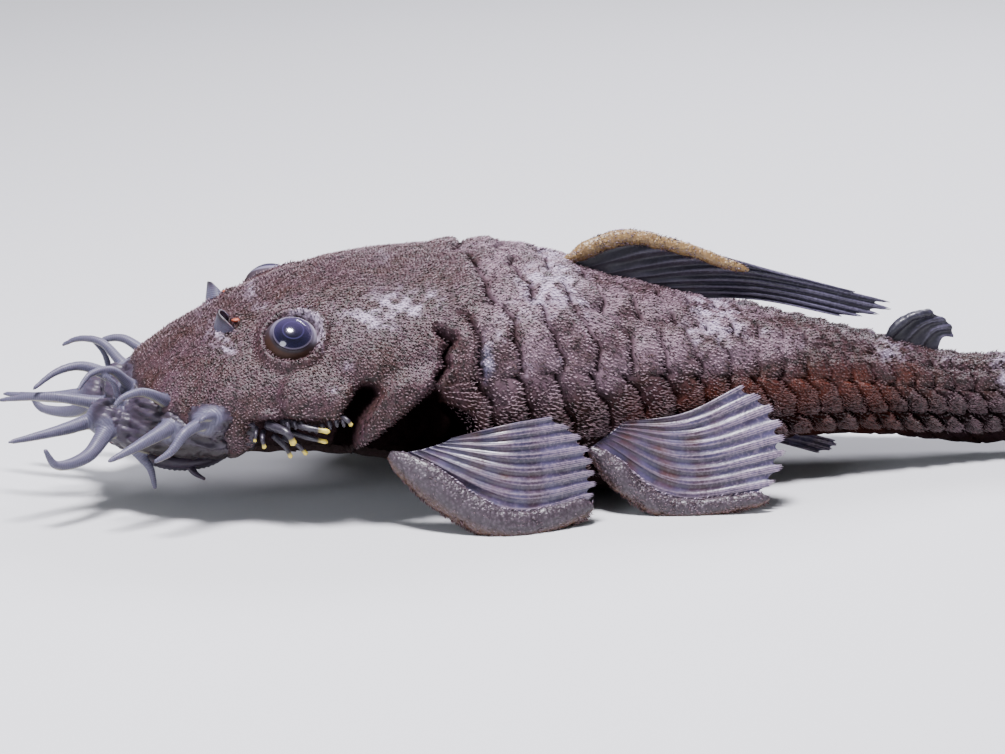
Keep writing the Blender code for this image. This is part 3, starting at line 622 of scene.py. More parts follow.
@dataclass(frozen=True)
class EyeGlaze:
    """Eye: a dark navy pupil and iris under a wet clear cornea, with a matt rim of skin, painted light on
    the upper iris, a painted highlight crescent on the upper rim and painted shade on the lower ring.
    """

    name: str = "wet_eye"
    pupil: str = "#070714"
    iris: str = "#0f0d24"
    # lilac of the painted light on the upper iris
    lilac: str = "#40365a"
    ring: str = "#2b2846"
    edge: str = "#6a6478"
    rim: str = "#3a3038"
    # shaded is painted shade on the lower ring, crescent the painted highlight on the upper rim
    shaded: str = "#1a1218"
    crescent: str = "#c9c3d2"
    amber: str = "#2e1709"
    cornea_end: tuple = (0.47, 0.52)
    grain_mm: float = 0.25
    relief_mm: float = 0.004

    def bands(self, tree: Tree, ring: Socket) -> Socket:
        """Colour bands from the pupil out to the rim."""
        colour = add(tree, "ValToRGB", {"Fac": ring})
        elements = colour.node.color_ramp.elements
        stops = (
            (0.0, self.pupil), (0.8, self.rim), (0.2, self.pupil), (0.225, self.ring), (0.25, self.pupil),
            (0.42, self.iris), (0.455, self.edge), (0.53, self.edge), (0.58, self.rim),
        )
        for element, (position, shade) in zip(elements, stops[:2]):
            element.position = position
            element.color = linear(shade)
        for position, shade in stops[2:]:
            elements.new(position).color = linear(shade)
        return colour

    def make(self) -> Material:
        """Build the material from the eyeball's marks: the ring, and over its bands the amber, painted
        shade, painted light and a painted highlight.
        """
        marks = {"lower": self.shaded, "amber": self.amber, "glow": self.lilac, "painted_highlight": self.crescent}
        finish, tree, place, (ring, *shares) = new_finish(self.name, "ring", *marks)
        colour = self.bands(tree, ring)
        for share, shade in zip(shares, marks.values()):
            colour = add(tree, "Mix", {0: share, 6: colour, 7: shade}, 2, data_type="RGBA")
        # the clear cornea ends where the matt skin of the rim begins
        start, end = self.cornea_end
        wet, dull = (
            add(tree, "MapRange", (ring, start, end, inside, outside))
            for inside, outside in ((1.0, 0.0), (0.16, 0.6))
        )
        grain = add(tree, "TexNoise", {"Vector": place, "Scale": 1 / self.grain_mm, "Detail": 2.0})
        close_finish(tree, {
            "Base Color": colour, "Roughness": dull, "IOR": 1.38,
            "Coat Weight": wet, "Coat Roughness": 0.02, "Coat IOR": 1.45,
        }, (grain, self.relief_mm, 0.3))
        return finish


@dataclass(frozen=True)
class HookHorn:
    """Cheek spine: grey skin sheath that ends in a yellow, waxy tip."""

    name: str = "cheek_spine_sheath"
    sheath: str = "#18141a"
    pale: str = "#3c3742"
    tip: str = "#cdb84e"
    grain_mm: float = 0.25
    relief_mm: float = 0.04

    def make(self) -> Material:
        """Build the material from the hook's mark out, 0 at its root and 1 at its tip."""
        finish, tree, place, (out,) = new_finish(self.name, "out")
        grain = add(tree, "TexNoise", {"Vector": place, "Scale": 1 / self.grain_mm, "Detail": 2.0})
        tipped = add(tree, "MapRange", (out, 0.72, 0.84))
        colour = add(tree, "Mix", {0: grain, 6: self.sheath, 7: self.pale}, 2, data_type="RGBA")
        colour = add(tree, "Mix", {0: tipped, 6: colour, 7: self.tip}, 2, data_type="RGBA")
        close_finish(tree, {
            "Base Color": colour, "Roughness": 0.35, "IOR": 1.5,
        }, (grain, self.relief_mm, 0.5))
        return finish


@dataclass(frozen=True)
class MattFloor:
    """Studio floor, matt painted board: an even pale grey."""

    name: str = "matt_painted_board"
    shade: str = "#c9cacb"
    tooth_mm: float = 1.5
    relief_mm: float = 0.03

    def make(self) -> Material:
        """Build the floor's material with a faint tooth in the paint."""
        finish, tree, place, _ = new_finish(self.name)
        tooth = add(tree, "TexNoise", {"Vector": place, "Scale": 1 / self.tooth_mm, "Detail": 3.0})
        close_finish(tree, {
            "Base Color": self.shade, "Roughness": 0.7,
        }, (tooth, self.relief_mm, 0.4))
        return finish


# The body's form


# station, half width, top, height of the widest line, bottom
SECTIONS = (
    (0.0, 1.6, 9.0, 7.9, 6.7),
    (0.8, 4.4, 10.3, 8.0, 6.1),
    (2.5, 7.4, 12.2, 8.2, 5.7),
    (5.0, 9.7, 14.4, 8.6, 5.5),
    (9.0, 11.9, 17.1, 9.2, 5.3),
    (14.0, 13.3, 19.8, 9.8, 5.3),
    (18.0, 14.0, 21.4, 10.0, 5.2),
    (24.0, 14.9, 23.0, 10.0, 4.7),
    (30.0, 15.6, 23.6, 9.6, 3.7),
    (36.0, 15.6, 23.8, 9.2, 2.5),
    (42.0, 14.8, 23.5, 8.8, 1.0),
    (46.0, 13.8, 22.5, 8.6, 0.2),
    (50.0, 12.6, 20.9, 8.4, -0.35),
    (57.0, 10.6, 18.9, 8.2, -0.35),
    (63.0, 9.0, 17.2, 8.0, 0.8),
    (68.0, 7.9, 16.0, 7.8, 2.9),
    (74.0, 6.6, 14.4, 7.4, 3.2),
    (82.0, 5.0, 12.0, 6.6, 2.3),
    (89.0, 3.7, 10.3, 5.8, 1.1),
    (94.6, 2.7, 10.5, 5.6, 0.8),
)
UPPER_SQUARENESS = ((0.0, 2.0), (14.0, 1.95), (30.0, 2.15), (46.0, 2.2), (70.0, 2.0), (94.6, 2.0))
LOWER_SQUARENESS = (
    (0.0, 2.2), (14.0, 2.3), (24.0, 2.4), (36.0, 3.0), (46.0, 3.4), (64.0, 2.8), (80.0, 2.2),
    (94.6, 2.0),
)
HEAD_ROLL = 4.0
ROLL_HEIGHT = 10.0


class Measure(Enum):
    """A measure of the body's sections, by its column in the table."""

    HALF_WIDTH = 1
    TOP = 2
    WAIST = 3
    BOTTOM = 4

    def at(self, stations: Array) -> Array:
        """The measure at some stations."""
        return smooth_values([(row[0], row[self.value]) for row in SECTIONS], stations)


def posed(straight: Array) -> Array:
    """Roll the head a little to the left: straight (station, side, height) to pose mm."""
    station, side, height = straight.T
    roll = math.radians(HEAD_ROLL) * (1 - step(26.0, 50.0, station))
    rise = height - ROLL_HEIGHT
    y = side * np.cos(roll) - rise * np.sin(roll)
    z = ROLL_HEIGHT + side * np.sin(roll) + rise * np.cos(roll)
    return np.stack([station - ORIGIN_STATION, y, z], axis=1)


def turn_from_back(angle: Array) -> Array:
    """Degrees from the middle of the back, alike on both sides."""
    return np.abs((angle + 180.0) % 360.0 - 180.0)


@dataclass(frozen=True)
class Patch:
    """A pale blotch of the skin, in station and height, alike on both sides."""

    station: float
    height: float
    along: float
    up: float
    strength: float
    slant: float = 0.0

    def share(self, straight: Array) -> Array:
        """How much of the blotch each straight place has."""
        across = straight[:, 0] - self.station - self.slant * (straight[:, 2] - self.height)
        return self.strength * hump(np.hypot(across / self.along, (straight[:, 2] - self.height) / self.up))


@dataclass(frozen=True)
class BodyShape:
    """The animal's surface: the source's sections with the relief of plates, sockets and gills.

    Lines in side view are given by station and height, the plates' rows by degrees from the
    back, and each pitch is the length of a plate.
    """

    inset: float = 0.12
    highest_lift: float = 1.25
    naked_sink: float = 0.5
    plate_start: float = 34.3
    trunk_pitch: float = 3.9
    tail_pitch: float = 2.25
    plate_sweep: float = 0.55
    plate_shear: float = 0.06
    plate_rise: float = 0.78
    plate_crest: float = 0.86
    keel_rise: float = 0.12
    groove_depth: float = 0.26
    row_bounds: tuple = (0.0, 17.0, 40.0, 68.0, 97.0, 124.0)
    row_shifts: tuple = (0.0, 0.1, -0.08, 0.12, 0.0, 0.0)
    eye: tuple = (18.5, 41.0)
    nostril: tuple = (12.8, 4.6)
    crack: tuple = ((32.3, 19.2), (33.6, 18.5), (32.6, 17.4), (32.9, 16.4), (31.7, 15.3))
    gill_line: tuple = ((31.9, 15.3), (28.2, 12.1), (24.3, 8.8))
    cheek_gap: tuple = ((22.9, 6.5), (22.9, 9.6), (23.5, 11.9), (25.2, 14.3))
    gill_fringe: tuple = ((31.4, 17.0), (32.2, 13.4), (34.8, 12.0), (37.9, 11.2))
    flank_fringe: tuple = ((30.0, 13.4), (37.9, 11.2), (44.3, 9.0), (52.0, 8.0), (60.0, 7.2))
    snout_border: tuple = (
        (0.0, 16.0), (3.2, 13.9), (4.2, 12.9), (6.3, 11.7), (8.6, 11.1), (11.4, 10.9), (12.6, 4.0),
    )
    belly_border: tuple = ((0.0, 112.0), (12.0, 116.0), (34.0, 122.0), (60.0, 132.0), (72.0, 175.0))

    def bare(self, station: Array, angle: Array, lift: Array | float = 0.0) -> Array:
        """Places of the straight body's section, lifted along its outward direction.

        Args:
            station: Stations in mm.
            angle: Angles in degrees from the middle of the back.
            lift: How far off the bare surface.

        Returns:
            An array of (station, side, height).
        """
        half, top, waist, bottom = (measure.at(station) for measure in Measure)

        def section(turn: Array) -> Array:
            across, up = np.sin(np.radians(turn)), np.cos(np.radians(turn))
            square = np.where(
                up > 0, smooth_values(UPPER_SQUARENESS, station), smooth_values(LOWER_SQUARENESS, station)
            )
            reach = (np.abs(across) ** square + np.abs(up) ** square) ** (-1 / square)
            height = np.where(up > 0, top - waist, waist - bottom)
            return np.stack([-half * reach * across, waist + height * reach * up], axis=1)

        place = section(angle)
        ahead, behind = section(angle + 2.0), section(angle - 2.0)
        outward = unit(np.stack([ahead[:, 1] - behind[:, 1], behind[:, 0] - ahead[:, 0]], axis=1))
        inside = np.sum(outward * (place - np.stack([0 * waist, waist], axis=1)), axis=1) < 0
        outward[inside] *= -1
        place = place + outward * np.broadcast_to(lift, station.shape)[:, None]
        return np.column_stack([station, place])

    def pair(self, station: float, side: float, lift: float = 0.0) -> Array:
        """The upper skin's two places at a station and a distance from the middle, left first."""
        stations = np.full(2, station)
        turn = np.degrees(np.arcsin(side / Measure.HALF_WIDTH.at(stations)))
        return self.bare(stations, turn * np.array([1.0, -1.0]), lift)

    def eye_middles(self) -> Array:
        """The eyes' middles on the straight body's surface, left first."""
        return self.bare(np.full(2, self.eye[0]), np.array([self.eye[1], -self.eye[1]]))

    def nostril_middles(self) -> Array:
        """The nostrils' places on the straight body's surface, left first."""
        return self.pair(*self.nostril)

    def plate_number(self, station: Array) -> Array:
        """Plates counted from the first one, long on the trunk and shorter on the tail."""
        line = np.linspace(15.0, 105.0, 181)
        shrink = (self.trunk_pitch - self.tail_pitch) * step(44.0, 78.0, line)
        counted = np.cumsum((line[1] - line[0]) / (self.trunk_pitch - shrink))
        return np.interp(station, line, counted) - np.interp(self.plate_start, line, counted)

    def plate_phase(self, station: Array, angle: Array) -> tuple[Array, Array, Array]:
        """Where a place is among the plates.

        Args:
            station: Stations in mm.
            angle: Angles in degrees.

        Returns:
            The number of the plate in its row with the share of it passed, the row, and how far
            across the row the place is.
        """
        turn = turn_from_back(angle)
        bounds = np.array(self.row_bounds)
        row = np.clip(np.searchsorted(bounds, turn, side="right") - 1, 0, len(bounds) - 1)
        lower = bounds[row]
        upper = np.append(bounds, 180.0)[row + 1]
        across = (turn - lower) / (upper - lower)
        shift = np.array(self.row_shifts)[row]
        wobble = 0.09 * np.sin(turn * 0.21 + station * 0.37) + 0.05 * np.sin(turn * 0.53 + station * 0.9)
        sweep = self.plate_sweep * (1 - (2 * across - 1) ** 2)
        sheared = station - self.plate_shear * (turn - 40.0) - sweep
        return self.plate_number(sheared) + shift + 0.8 * wobble, row, across

    def plated(self, straight: Array, angle: Array) -> Array:
        """Where the plates lie: behind the head, and low down right behind the gill cover."""
        behind_gill = step(0.2, 0.8, self.gill_offset(straight)) * step(62.0, 68.0, turn_from_back(angle))
        behind_gill *= step(31.4, 32.4, straight[:, 0])
        return np.maximum(step(33.4, 35.2, straight[:, 0]), behind_gill)

    def plates(self, station: Array, angle: Array) -> Array:
        """Height of the overlapping plates: each rises backwards and ends in a step."""
        phase, row, across = self.plate_phase(station, angle)
        number = np.floor(phase)
        part = phase - number
        crest = self.plate_crest
        slope = np.where(
            part < crest, np.sin(0.5 * np.pi * np.clip(part / crest, 0, 1)) ** 1.2, (1 - part) / (1 - crest)
        )
        rounded = np.sin(np.pi * np.clip(across, 0, 1)) ** 0.45
        chance = 0.72 + 0.5 * scatter_hash(number, row)
        keel = self.keel_rise * hump((across - 0.5) / 0.16) * np.clip(part, 0, 1)
        low_row = 1 + 0.4 * (row >= 3) * step(62.0, 54.0, station)
        rise = (self.plate_rise * slope * chance * low_row + keel) * rounded
        plated = self.plated(self.bare(station, angle), angle)
        rise = rise * (row < len(self.row_bounds) - 1) * plated
        rise *= 0.35 + 0.65 * step(8.0, 34.0, turn_from_back(angle))
        groove = self.groove_depth * hump(((phase + 0.5) % 1.0 - 0.5) / 0.1) * plated
        return (rise - groove) * (1 - 0.8 * step(91.5, 94.0, station))

    def gill_offset(self, straight: Array) -> Array:
        """Signed distance behind and below the gill cover's free edge, in side view."""
        side_view = straight[:, [0, 2]]
        distance = polyline_distance(side_view, self.gill_line)
        a, b = np.array(self.gill_line[0]), np.array(self.gill_line[-1])
        across = (side_view[:, 0] - a[0]) * (b[1] - a[1]) - (side_view[:, 1] - a[1]) * (b[0] - a[0])
        return np.where(across < 0, distance, -distance)

    def hollows(self, straight: Array) -> Array:
        """How much a place lies in the dark gaps of the cheek and the gill opening."""
        side_view = straight[:, [0, 2]]
        station, height = side_view.T
        flank = np.abs(straight[:, 1]) > 6.0
        crack = hump(polyline_distance(side_view, self.crack) / 0.26)
        gap = step(1.35, 0.75, polyline_distance(side_view, self.cheek_gap))
        gap *= step(15.6, 14.8, height)
        under = step(12.0, 11.3, height) * step(3.6, 5.0, height) * step(12.6, 15.4, station)
        under *= step(25.0, 23.0, station)
        behind = self.gill_offset(straight)
        beneath = step(0.1, 0.6, behind) * step(8.0, 5.5, behind)
        fringe = np.interp(station, *zip(*self.gill_fringe))
        beneath *= step(23.2, 24.6, station) * step(36.5, 34.0, station) * step(-0.2, 0.5, fringe - height)
        # these places are sunk in the relief and, through dark_gaps, painted in shade
        total = np.maximum.reduce([crack, gap, 0.85 * under, 0.98 * beneath])
        return np.clip(total * flank, 0, 1)

    def head_relief(self, straight: Array, eyes: Array, nostrils: Array) -> Array:
        """Relief of the head over its bare form.

        Args:
            straight: Places on the bare surface.
            eyes: The two eyes' middles on the surface.
            nostrils: The two nostrils' places on the surface.

        Returns:
            The lift in mm.
        """
        side_view = straight[:, [0, 2]]
        station, height = side_view.T
        flank = step(6.0, 9.0, np.abs(straight[:, 1]))
        lift = np.zeros(len(straight))
        for eye in eyes:
            distance = np.linalg.norm(straight - eye, axis=1)
            rim, socket = 0.45 * hump((distance - 3.15) / 0.38), 1.2 * step(2.85, 2.3, distance)
            lift += rim - socket
            lift -= 0.16 * hump((distance - 4.1) / 0.5)
        for nostril in nostrils:
            distance = np.linalg.norm(straight - nostril, axis=1)
            rim, pit = 0.22 * hump((distance - 1.25) / 0.4), 0.9 * hump(distance / 0.62)
            lift += rim - pit
        lobe = np.hypot((station - 20.4) / 4.1, (height - 13.6) / 3.1)
        lobe_edge = step(1.0, 0.78, lobe) * step(17.0, 13.2, height)
        lift += 0.95 * lobe_edge * flank
        knob = np.hypot((station - 15.6) / 1.6, (height - 11.0) / 1.7)
        lift += 0.5 * step(1.1, 0.5, knob) * flank
        behind = self.gill_offset(straight)
        strip = step(0.05, -0.45, behind) * step(-3.6, -2.0, behind)
        strip *= step(23.6, 25.2, station + 0.35 * (12 - height)) * step(34.0, 32.0, station)
        lift += 0.95 * strip * step(16.8, 14.6, height) * flank
        crack_lips = hump((polyline_distance(side_view, self.crack) - 0.75) / 0.5)
        lift += 0.3 * crack_lips * flank
        return lift - 1.8 * self.hollows(straight)

    def naked_share(self, straight: Array) -> Array:
        """How much of a place is the naked snout's, 1 in front of its border."""
        border = np.interp(straight[:, 0], *zip(*self.snout_border))
        wave = 0.35 * ripple(straight, 1.6, 5)
        inside = step(1.1, -1.1, straight[:, 2] - border + wave) * step(13.6, 12.2, straight[:, 0] + wave)
        return np.maximum(inside, step(4.0, 1.9, straight[:, 0] + wave))

    def belly_share(self, station: Array, angle: Array) -> Array:
        """How much of a place is the naked belly's."""
        border = np.interp(station, *zip(*self.belly_border))
        return step(-4.0, 4.0, turn_from_back(angle) - border)

    def dark_gaps(self, straight: Array, angle: Array, belly: Array, shadow: Array) -> Array:
        """Painted shade: how dark the skin is painted in the gaps, on the low flank, along the seams and
        under the combs.

        Args:
            straight: Places as station, side and height.
            angle: Angles in degrees.
            belly: The places' share of naked belly.
            shadow: The painted shadow that their markings give.

        Returns:
            The painted shade mark, from 0 to 1.
        """
        station, _, height = straight.T
        fringe = np.interp(station, *zip(*self.flank_fringe))
        # painted shade below the flank's lower fringe
        shade = 0.8 * step(0.3, -1.4, height - fringe) * step(29.0, 32.0, station)
        shade *= step(60.0, 53.0, station)
        gaps = self.hollows(straight) * step(36.0, 34.5, station)
        dark = np.clip(gaps + shade + shadow, 0, 1)
        phase = self.plate_phase(station, angle)[0]
        part = (phase + 0.5) % 1.0 - 0.5
        plated = self.plated(straight, angle)
        # painted shade along the plate seams
        seam = hump(part / 0.12) * plated * (1 - belly)
        # painted shade on the low plates under the combs
        combed = 0.6 * step(64.0, 70.0, turn_from_back(angle)) * plated * step(64.0, 54.0, station)
        return np.maximum(np.maximum(dark, combed), seam)

    def relief(self, station: Array, angle: Array) -> tuple[Array, Marks]:
        """The skin's lift and its marks.

        Args:
            station: Stations in mm.
            angle: Angles in degrees.

        Returns:
            The lift in mm, and the marks by name.
        """
        straight = self.bare(station, angle)
        naked = self.naked_share(straight) * step(14.0, 13.0, station)
        belly = self.belly_share(station, angle)
        head = self.head_relief(straight, self.eye_middles(), self.nostril_middles())
        head *= step(36.0, 34.5, station)
        uneven = 0.07 * ripple(straight, 3.4, 2) + 0.045 * ripple(straight, 1.1, 3)
        creases = 0.05 * ripple(straight * (1.0, 1.0, 2.4), 1.0, 9) * belly
        wrinkles = 0.22 * ripple(straight * (1.0, 1.0, 0.5), 0.9, 17)
        creases += wrinkles * self.hollows(straight) * step(36.0, 34.5, station)
        lift = head + self.plates(station, angle) * (1 - belly) + uneven + creases - self.inset
        lift -= self.naked_sink * step(0.3, 0.95, naked)
        lift = np.minimum(lift, self.highest_lift)
        marks = Markings().of(straight, naked, belly)
        # painted shade: gaps, low flank, seams, under the combs and under the tail
        marks["hollow"] = self.dark_gaps(straight, angle, belly, marks["hollow"])
        for eye in self.eye_middles():
            away = straight - eye
            distance = np.linalg.norm(away, axis=1)
            rear = step(0.0, 0.7, unit(away) @ unit(np.array((0.65, 0.0, 0.75))))
            marks["pale"] = np.maximum(marks["pale"], 0.9 * rear * hump((distance - 2.85) / 0.34))
        return lift, marks

    def skin(self, station: Array, angle: Array) -> tuple[Array, Marks]:
        """The skin's points in pose mm, and its marks."""
        lift, marks = self.relief(station, angle)
        return posed(self.bare(station, angle, lift)), marks


@dataclass(frozen=True)
class Markings:
    """Where the animal is pale, rust brown or slate, with a painted sheen on the upper trunk and a painted
    shadow under the tail, shared by its skin and coat.
    """

    # pale blotches: the skin's own mottling, and on the trunk also a painted highlight where the plates
    # glint
    # station, height, half length, half height, strength and slant
    patches: tuple = tuple(Patch(*row) for row in (
        (26.0, 20.3, 2.8, 0.9, 1.1, 0.4), (28.8, 21.2, 2.6, 0.9, 1.3), (32.0, 21.6, 1.8, 0.7, 0.6),
        (23.3, 16.7, 0.55, 0.5, 0.8), (21.6, 14.5, 0.7, 0.4, 0.8), (28.3, 23.6, 0.9, 0.3, 0.4),
        (15.4, 20.4, 1.1, 0.6, 0.5), (12.0, 17.5, 1.2, 0.9, 1.0), (20.8, 18.6, 0.55, 0.9, 0.9),
        (44.0, 21.2, 3.4, 1.8, 1.5, 0.5), (46.8, 19.6, 1.5, 1.2, 0.7), (61.3, 16.4, 3.0, 1.8, 1.5),
        (58.6, 16.9, 1.4, 0.8, 0.4), (80.0, 11.8, 2.2, 1.2, 0.8), (92.4, 9.4, 1.7, 2.4, 0.95),
        (38.4, 18.8, 0.8, 1.2, 0.8, 0.3), (70.5, 13.6, 1.2, 0.5, 0.35), (36.7, 16.6, 0.7, 1.5, 0.9),
        (40.6, 15.2, 0.5, 1.2, 0.6), (44.0, 15.4, 0.6, 1.0, 0.35), (41.4, 19.0, 1.2, 1.2, 0.4),
        (66.0, 15.0, 1.6, 0.6, 0.35), (86.0, 10.5, 1.4, 0.7, 0.35), (11.0, 12.5, 0.8, 0.5, 0.3),
    ))
    tail_fringe: tuple = ((58.0, 9.0), (70.0, 9.3), (80.0, 8.8), (94.0, 7.2))
    streak: tuple = (36.7, 16.2)

    def of(self, straight: Array, naked: Array, belly: Array) -> Marks:
        """The marks of straight places.

        Args:
            straight: Places as station, side and height.
            naked: Their share of naked snout.
            belly: Their share of naked belly.

        Returns:
            Arrays by mark: the painted sheen, pale, rust, slate, naked, belly and the painted shade.
        """
        station, _, height = straight.T
        blotch = np.zeros(len(straight))
        for patch in self.patches:
            blotch = np.maximum(blotch, patch.share(straight))
        blotch *= 0.62 + 0.5 * ripple(straight * (1.0, 1.0, 1.8), 1.1, 11)
        # painted sheen: the upper trunk painted lighter where its glints would be
        bright = 0.8 + 0.35 * ripple(straight * (1.0, 1.0, 0.6), 2.2, 19)
        bright *= 0.25 + 0.75 * step(34.0, 40.0, station) * step(76.0, 64.0, station)
        bright *= step(9.0, 14.0, height)
        low = step(13.6, 9.5, height) * step(46.0, 56.0, station) * step(89.0, 76.0, station)
        rust = low * (0.9 + 0.3 * ripple(straight, 2.6, 12))
        bright *= 1 - np.clip(rust, 0, 1)
        under_tail = np.interp(station, *zip(*self.tail_fringe))
        shadow = 0.88 * step(0.8, -2.6, height - under_tail) * step(56.0, 64.0, station)
        slate = 0.8 * hump(np.hypot((station - self.streak[0]) / 0.8, (height - self.streak[1]) / 2.0))
        return {
            "bright": np.clip(bright, 0, 1), "pale": np.clip(blotch, 0, 1),
            "rust": np.clip(rust, 0, 1), "slate": np.clip(slate, 0, 1),
            "naked": naked, "belly": belly, "hollow": shadow,
        }


@dataclass
class BodySkin:
    """The one skin over head, cheeks, gill covers, trunk and tail."""

    shape: BodyShape
    rings: int = 352
    corners: int = 238

    def stations(self) -> Array:
        """Stations of the rings, a little closer together at the tip."""
        t = np.linspace(0.0, 1.0, self.rings + 1)
        return BODY_LENGTH * (t - 0.07 * (1 - t) ** 3 * np.sin(math.pi * t) * t)

    def build(self, finish: Material) -> Piece:
        """Build the skin as one closed mesh with its marks."""
        bm, ring, corner = grid_bmesh(self.rings, self.corners)
        station = self.stations()[ring]
        angle = corner * 360.0 / self.corners
        points, marks = self.shape.skin(station, angle)
        points[:, 2] = np.maximum(points[:, 2], 0.0)
        shape_points(bm, points, marks)
        close_up(bm)
        piece = piece_from("body_skin", bm, finish)
        return settle(
            piece, "skin", "head", "trunk", "tail_front", "tail_rear", "cheek_left", "cheek_right",
            "gill_cover_left", "gill_cover_right",
        )


# The coat


@dataclass
class Roots:
    """Where odontodes grow: their places, directions, sizes and marks."""

    place: Array
    normal: Array
    lie: Array
    length: Array
    width: Array
    rise: Array
    shine: Array
    atlas: Array
    marks: Marks

    def __len__(self) -> int:
        """The number of roots."""
        return len(self.place)

    def keep(self, mask: Array) -> "Roots":
        """Only the roots of a mask."""
        columns = [getattr(self, column)[mask] for column in self.columns()]
        return Roots(*columns, {name: values[mask] for name, values in self.marks.items()})

    @staticmethod
    def columns() -> list[str]:
        """The names of the arrays that have a row for each root."""
        return [field.name for field in fields(Roots) if field.name != "marks"]

    @staticmethod
    def joined(groups: list["Roots"]) -> "Roots":
        """Several groups as one."""
        columns = [
            np.concatenate([getattr(group, column) for group in groups]) for column in Roots.columns()
        ]
        marks = {name: np.concatenate([g.marks[name] for g in groups]) for name in groups[0].marks}
        return Roots(*columns, marks)


# places of a spike's seven points on its own small spot of the bake map
SPIKE_SPOTS = ((0.1, 0.1), (0.9, 0.1), (0.5, 0.25), (0.2, 0.5), (0.8, 0.5), (0.5, 0.6), (0.5, 0.9))


@dataclass
class Coat:
    """Odontodes as joined meshes of small bent spikes, each ten triangles."""

    finish: Material
    per_piece: int = 19000
    sink: float = 0.06
    half_radius: float = 0.72
    flatness: float = 0.9
    turns: tuple = (90.0, 210.0, 330.0)
    bake_share: float = 0.003

    def spikes(self, roots: Roots) -> Array:
        """The seven points of each spike: three at the root, three half way and the tip."""
        side = unit(np.cross(roots.normal, roots.lie))
        radius = 0.5 * roots.width[:, None]
        steep, flat = np.sin(roots.rise)[:, None], np.cos(roots.rise)[:, None]
        length = roots.length[:, None]
        base = roots.place - self.sink * roots.normal
        half = roots.place + length * (0.42 * flat * roots.lie + (0.36 * steep + 0.14) * roots.normal)
        tip = roots.place + length * (flat * roots.lie + steep * roots.normal)
        points = []
        for centre, share in ((base, 1.0), (half, self.half_radius)):
            for turn in self.turns:
                across, along = math.cos(math.radians(turn)), math.sin(math.radians(turn))
                points.append(centre + radius * share * (across * side - along * self.flatness * roots.lie))
        points.append(tip)
        spikes = np.stack(points, axis=1)
        spikes[..., 2] = np.maximum(spikes[..., 2], 0.0)
        return spikes

    def build(self, name: str, roots: Roots) -> list[Piece]:
        """Build the coat in pieces of fewer than 200,000 triangles.

        Args:
            name: The pieces' name, to which a number is added.
            roots: Where the spikes grow.

        Returns:
            The pieces.
        """
        pieces = []
        for number, start in enumerate(range(0, len(roots), self.per_piece)):
            chosen = np.zeros(len(roots), bool)
            chosen[start : start + self.per_piece] = True
            pieces.append(self.piece(f"{name}_{number + 1}", roots.keep(chosen)))
        return pieces

    def piece(self, name: str, roots: Roots) -> Piece:
        """Build one joined mesh of spikes with its marks and its bake map."""
        points = self.spikes(roots).reshape(-1, 3) * MM
        corners = [(0, 2, 1)]
        for a, b in ((0, 1), (1, 2), (2, 0)):
            corners += [(a, b, b + 3), (a, b + 3, a + 3), (a + 3, b + 3, 6)]
        pattern = np.array(corners)
        size = len(SPIKE_SPOTS)
        faces = (pattern[None] + size * np.arange(len(roots))[:, None, None]).reshape(-1, 3)
        mesh = bpy.data.meshes.new(name)
        mesh.vertices.add(len(points))
        mesh.vertices.foreach_set("co", points.astype(np.float32).ravel())
        mesh.loops.add(faces.size)
        mesh.loops.foreach_set("vertex_index", faces.astype(np.int32).ravel())
        mesh.polygons.add(len(faces))
        mesh.polygons.foreach_set("loop_start", np.arange(0, faces.size, 3, dtype=np.int32))
        mesh.update(calc_edges=True)
        mesh.validate()
        spots = np.array(SPIKE_SPOTS)
        atlas = (roots.atlas[:, None, :] + self.bake_share * (spots[None] - 0.5)).reshape(-1, 2)
        layer = mesh.uv_layers.new(name="OFBake")
        layer.data.foreach_set("uv", atlas[faces.ravel()].astype(np.float32).ravel())
        mesh.shade_smooth()
        mesh.materials.append(self.finish)
        piece = place_object(name, mesh)
        marks = {key: np.repeat(values, size) for key, values in roots.marks.items()}
        marks["out"] = np.tile([0.0, 0.0, 0.0, 0.5, 0.5, 0.5, 1.0], len(roots))
        marks["shine"] = np.repeat(roots.shine, size)
        set_marks(piece, marks)
        return settle(piece, "skin")


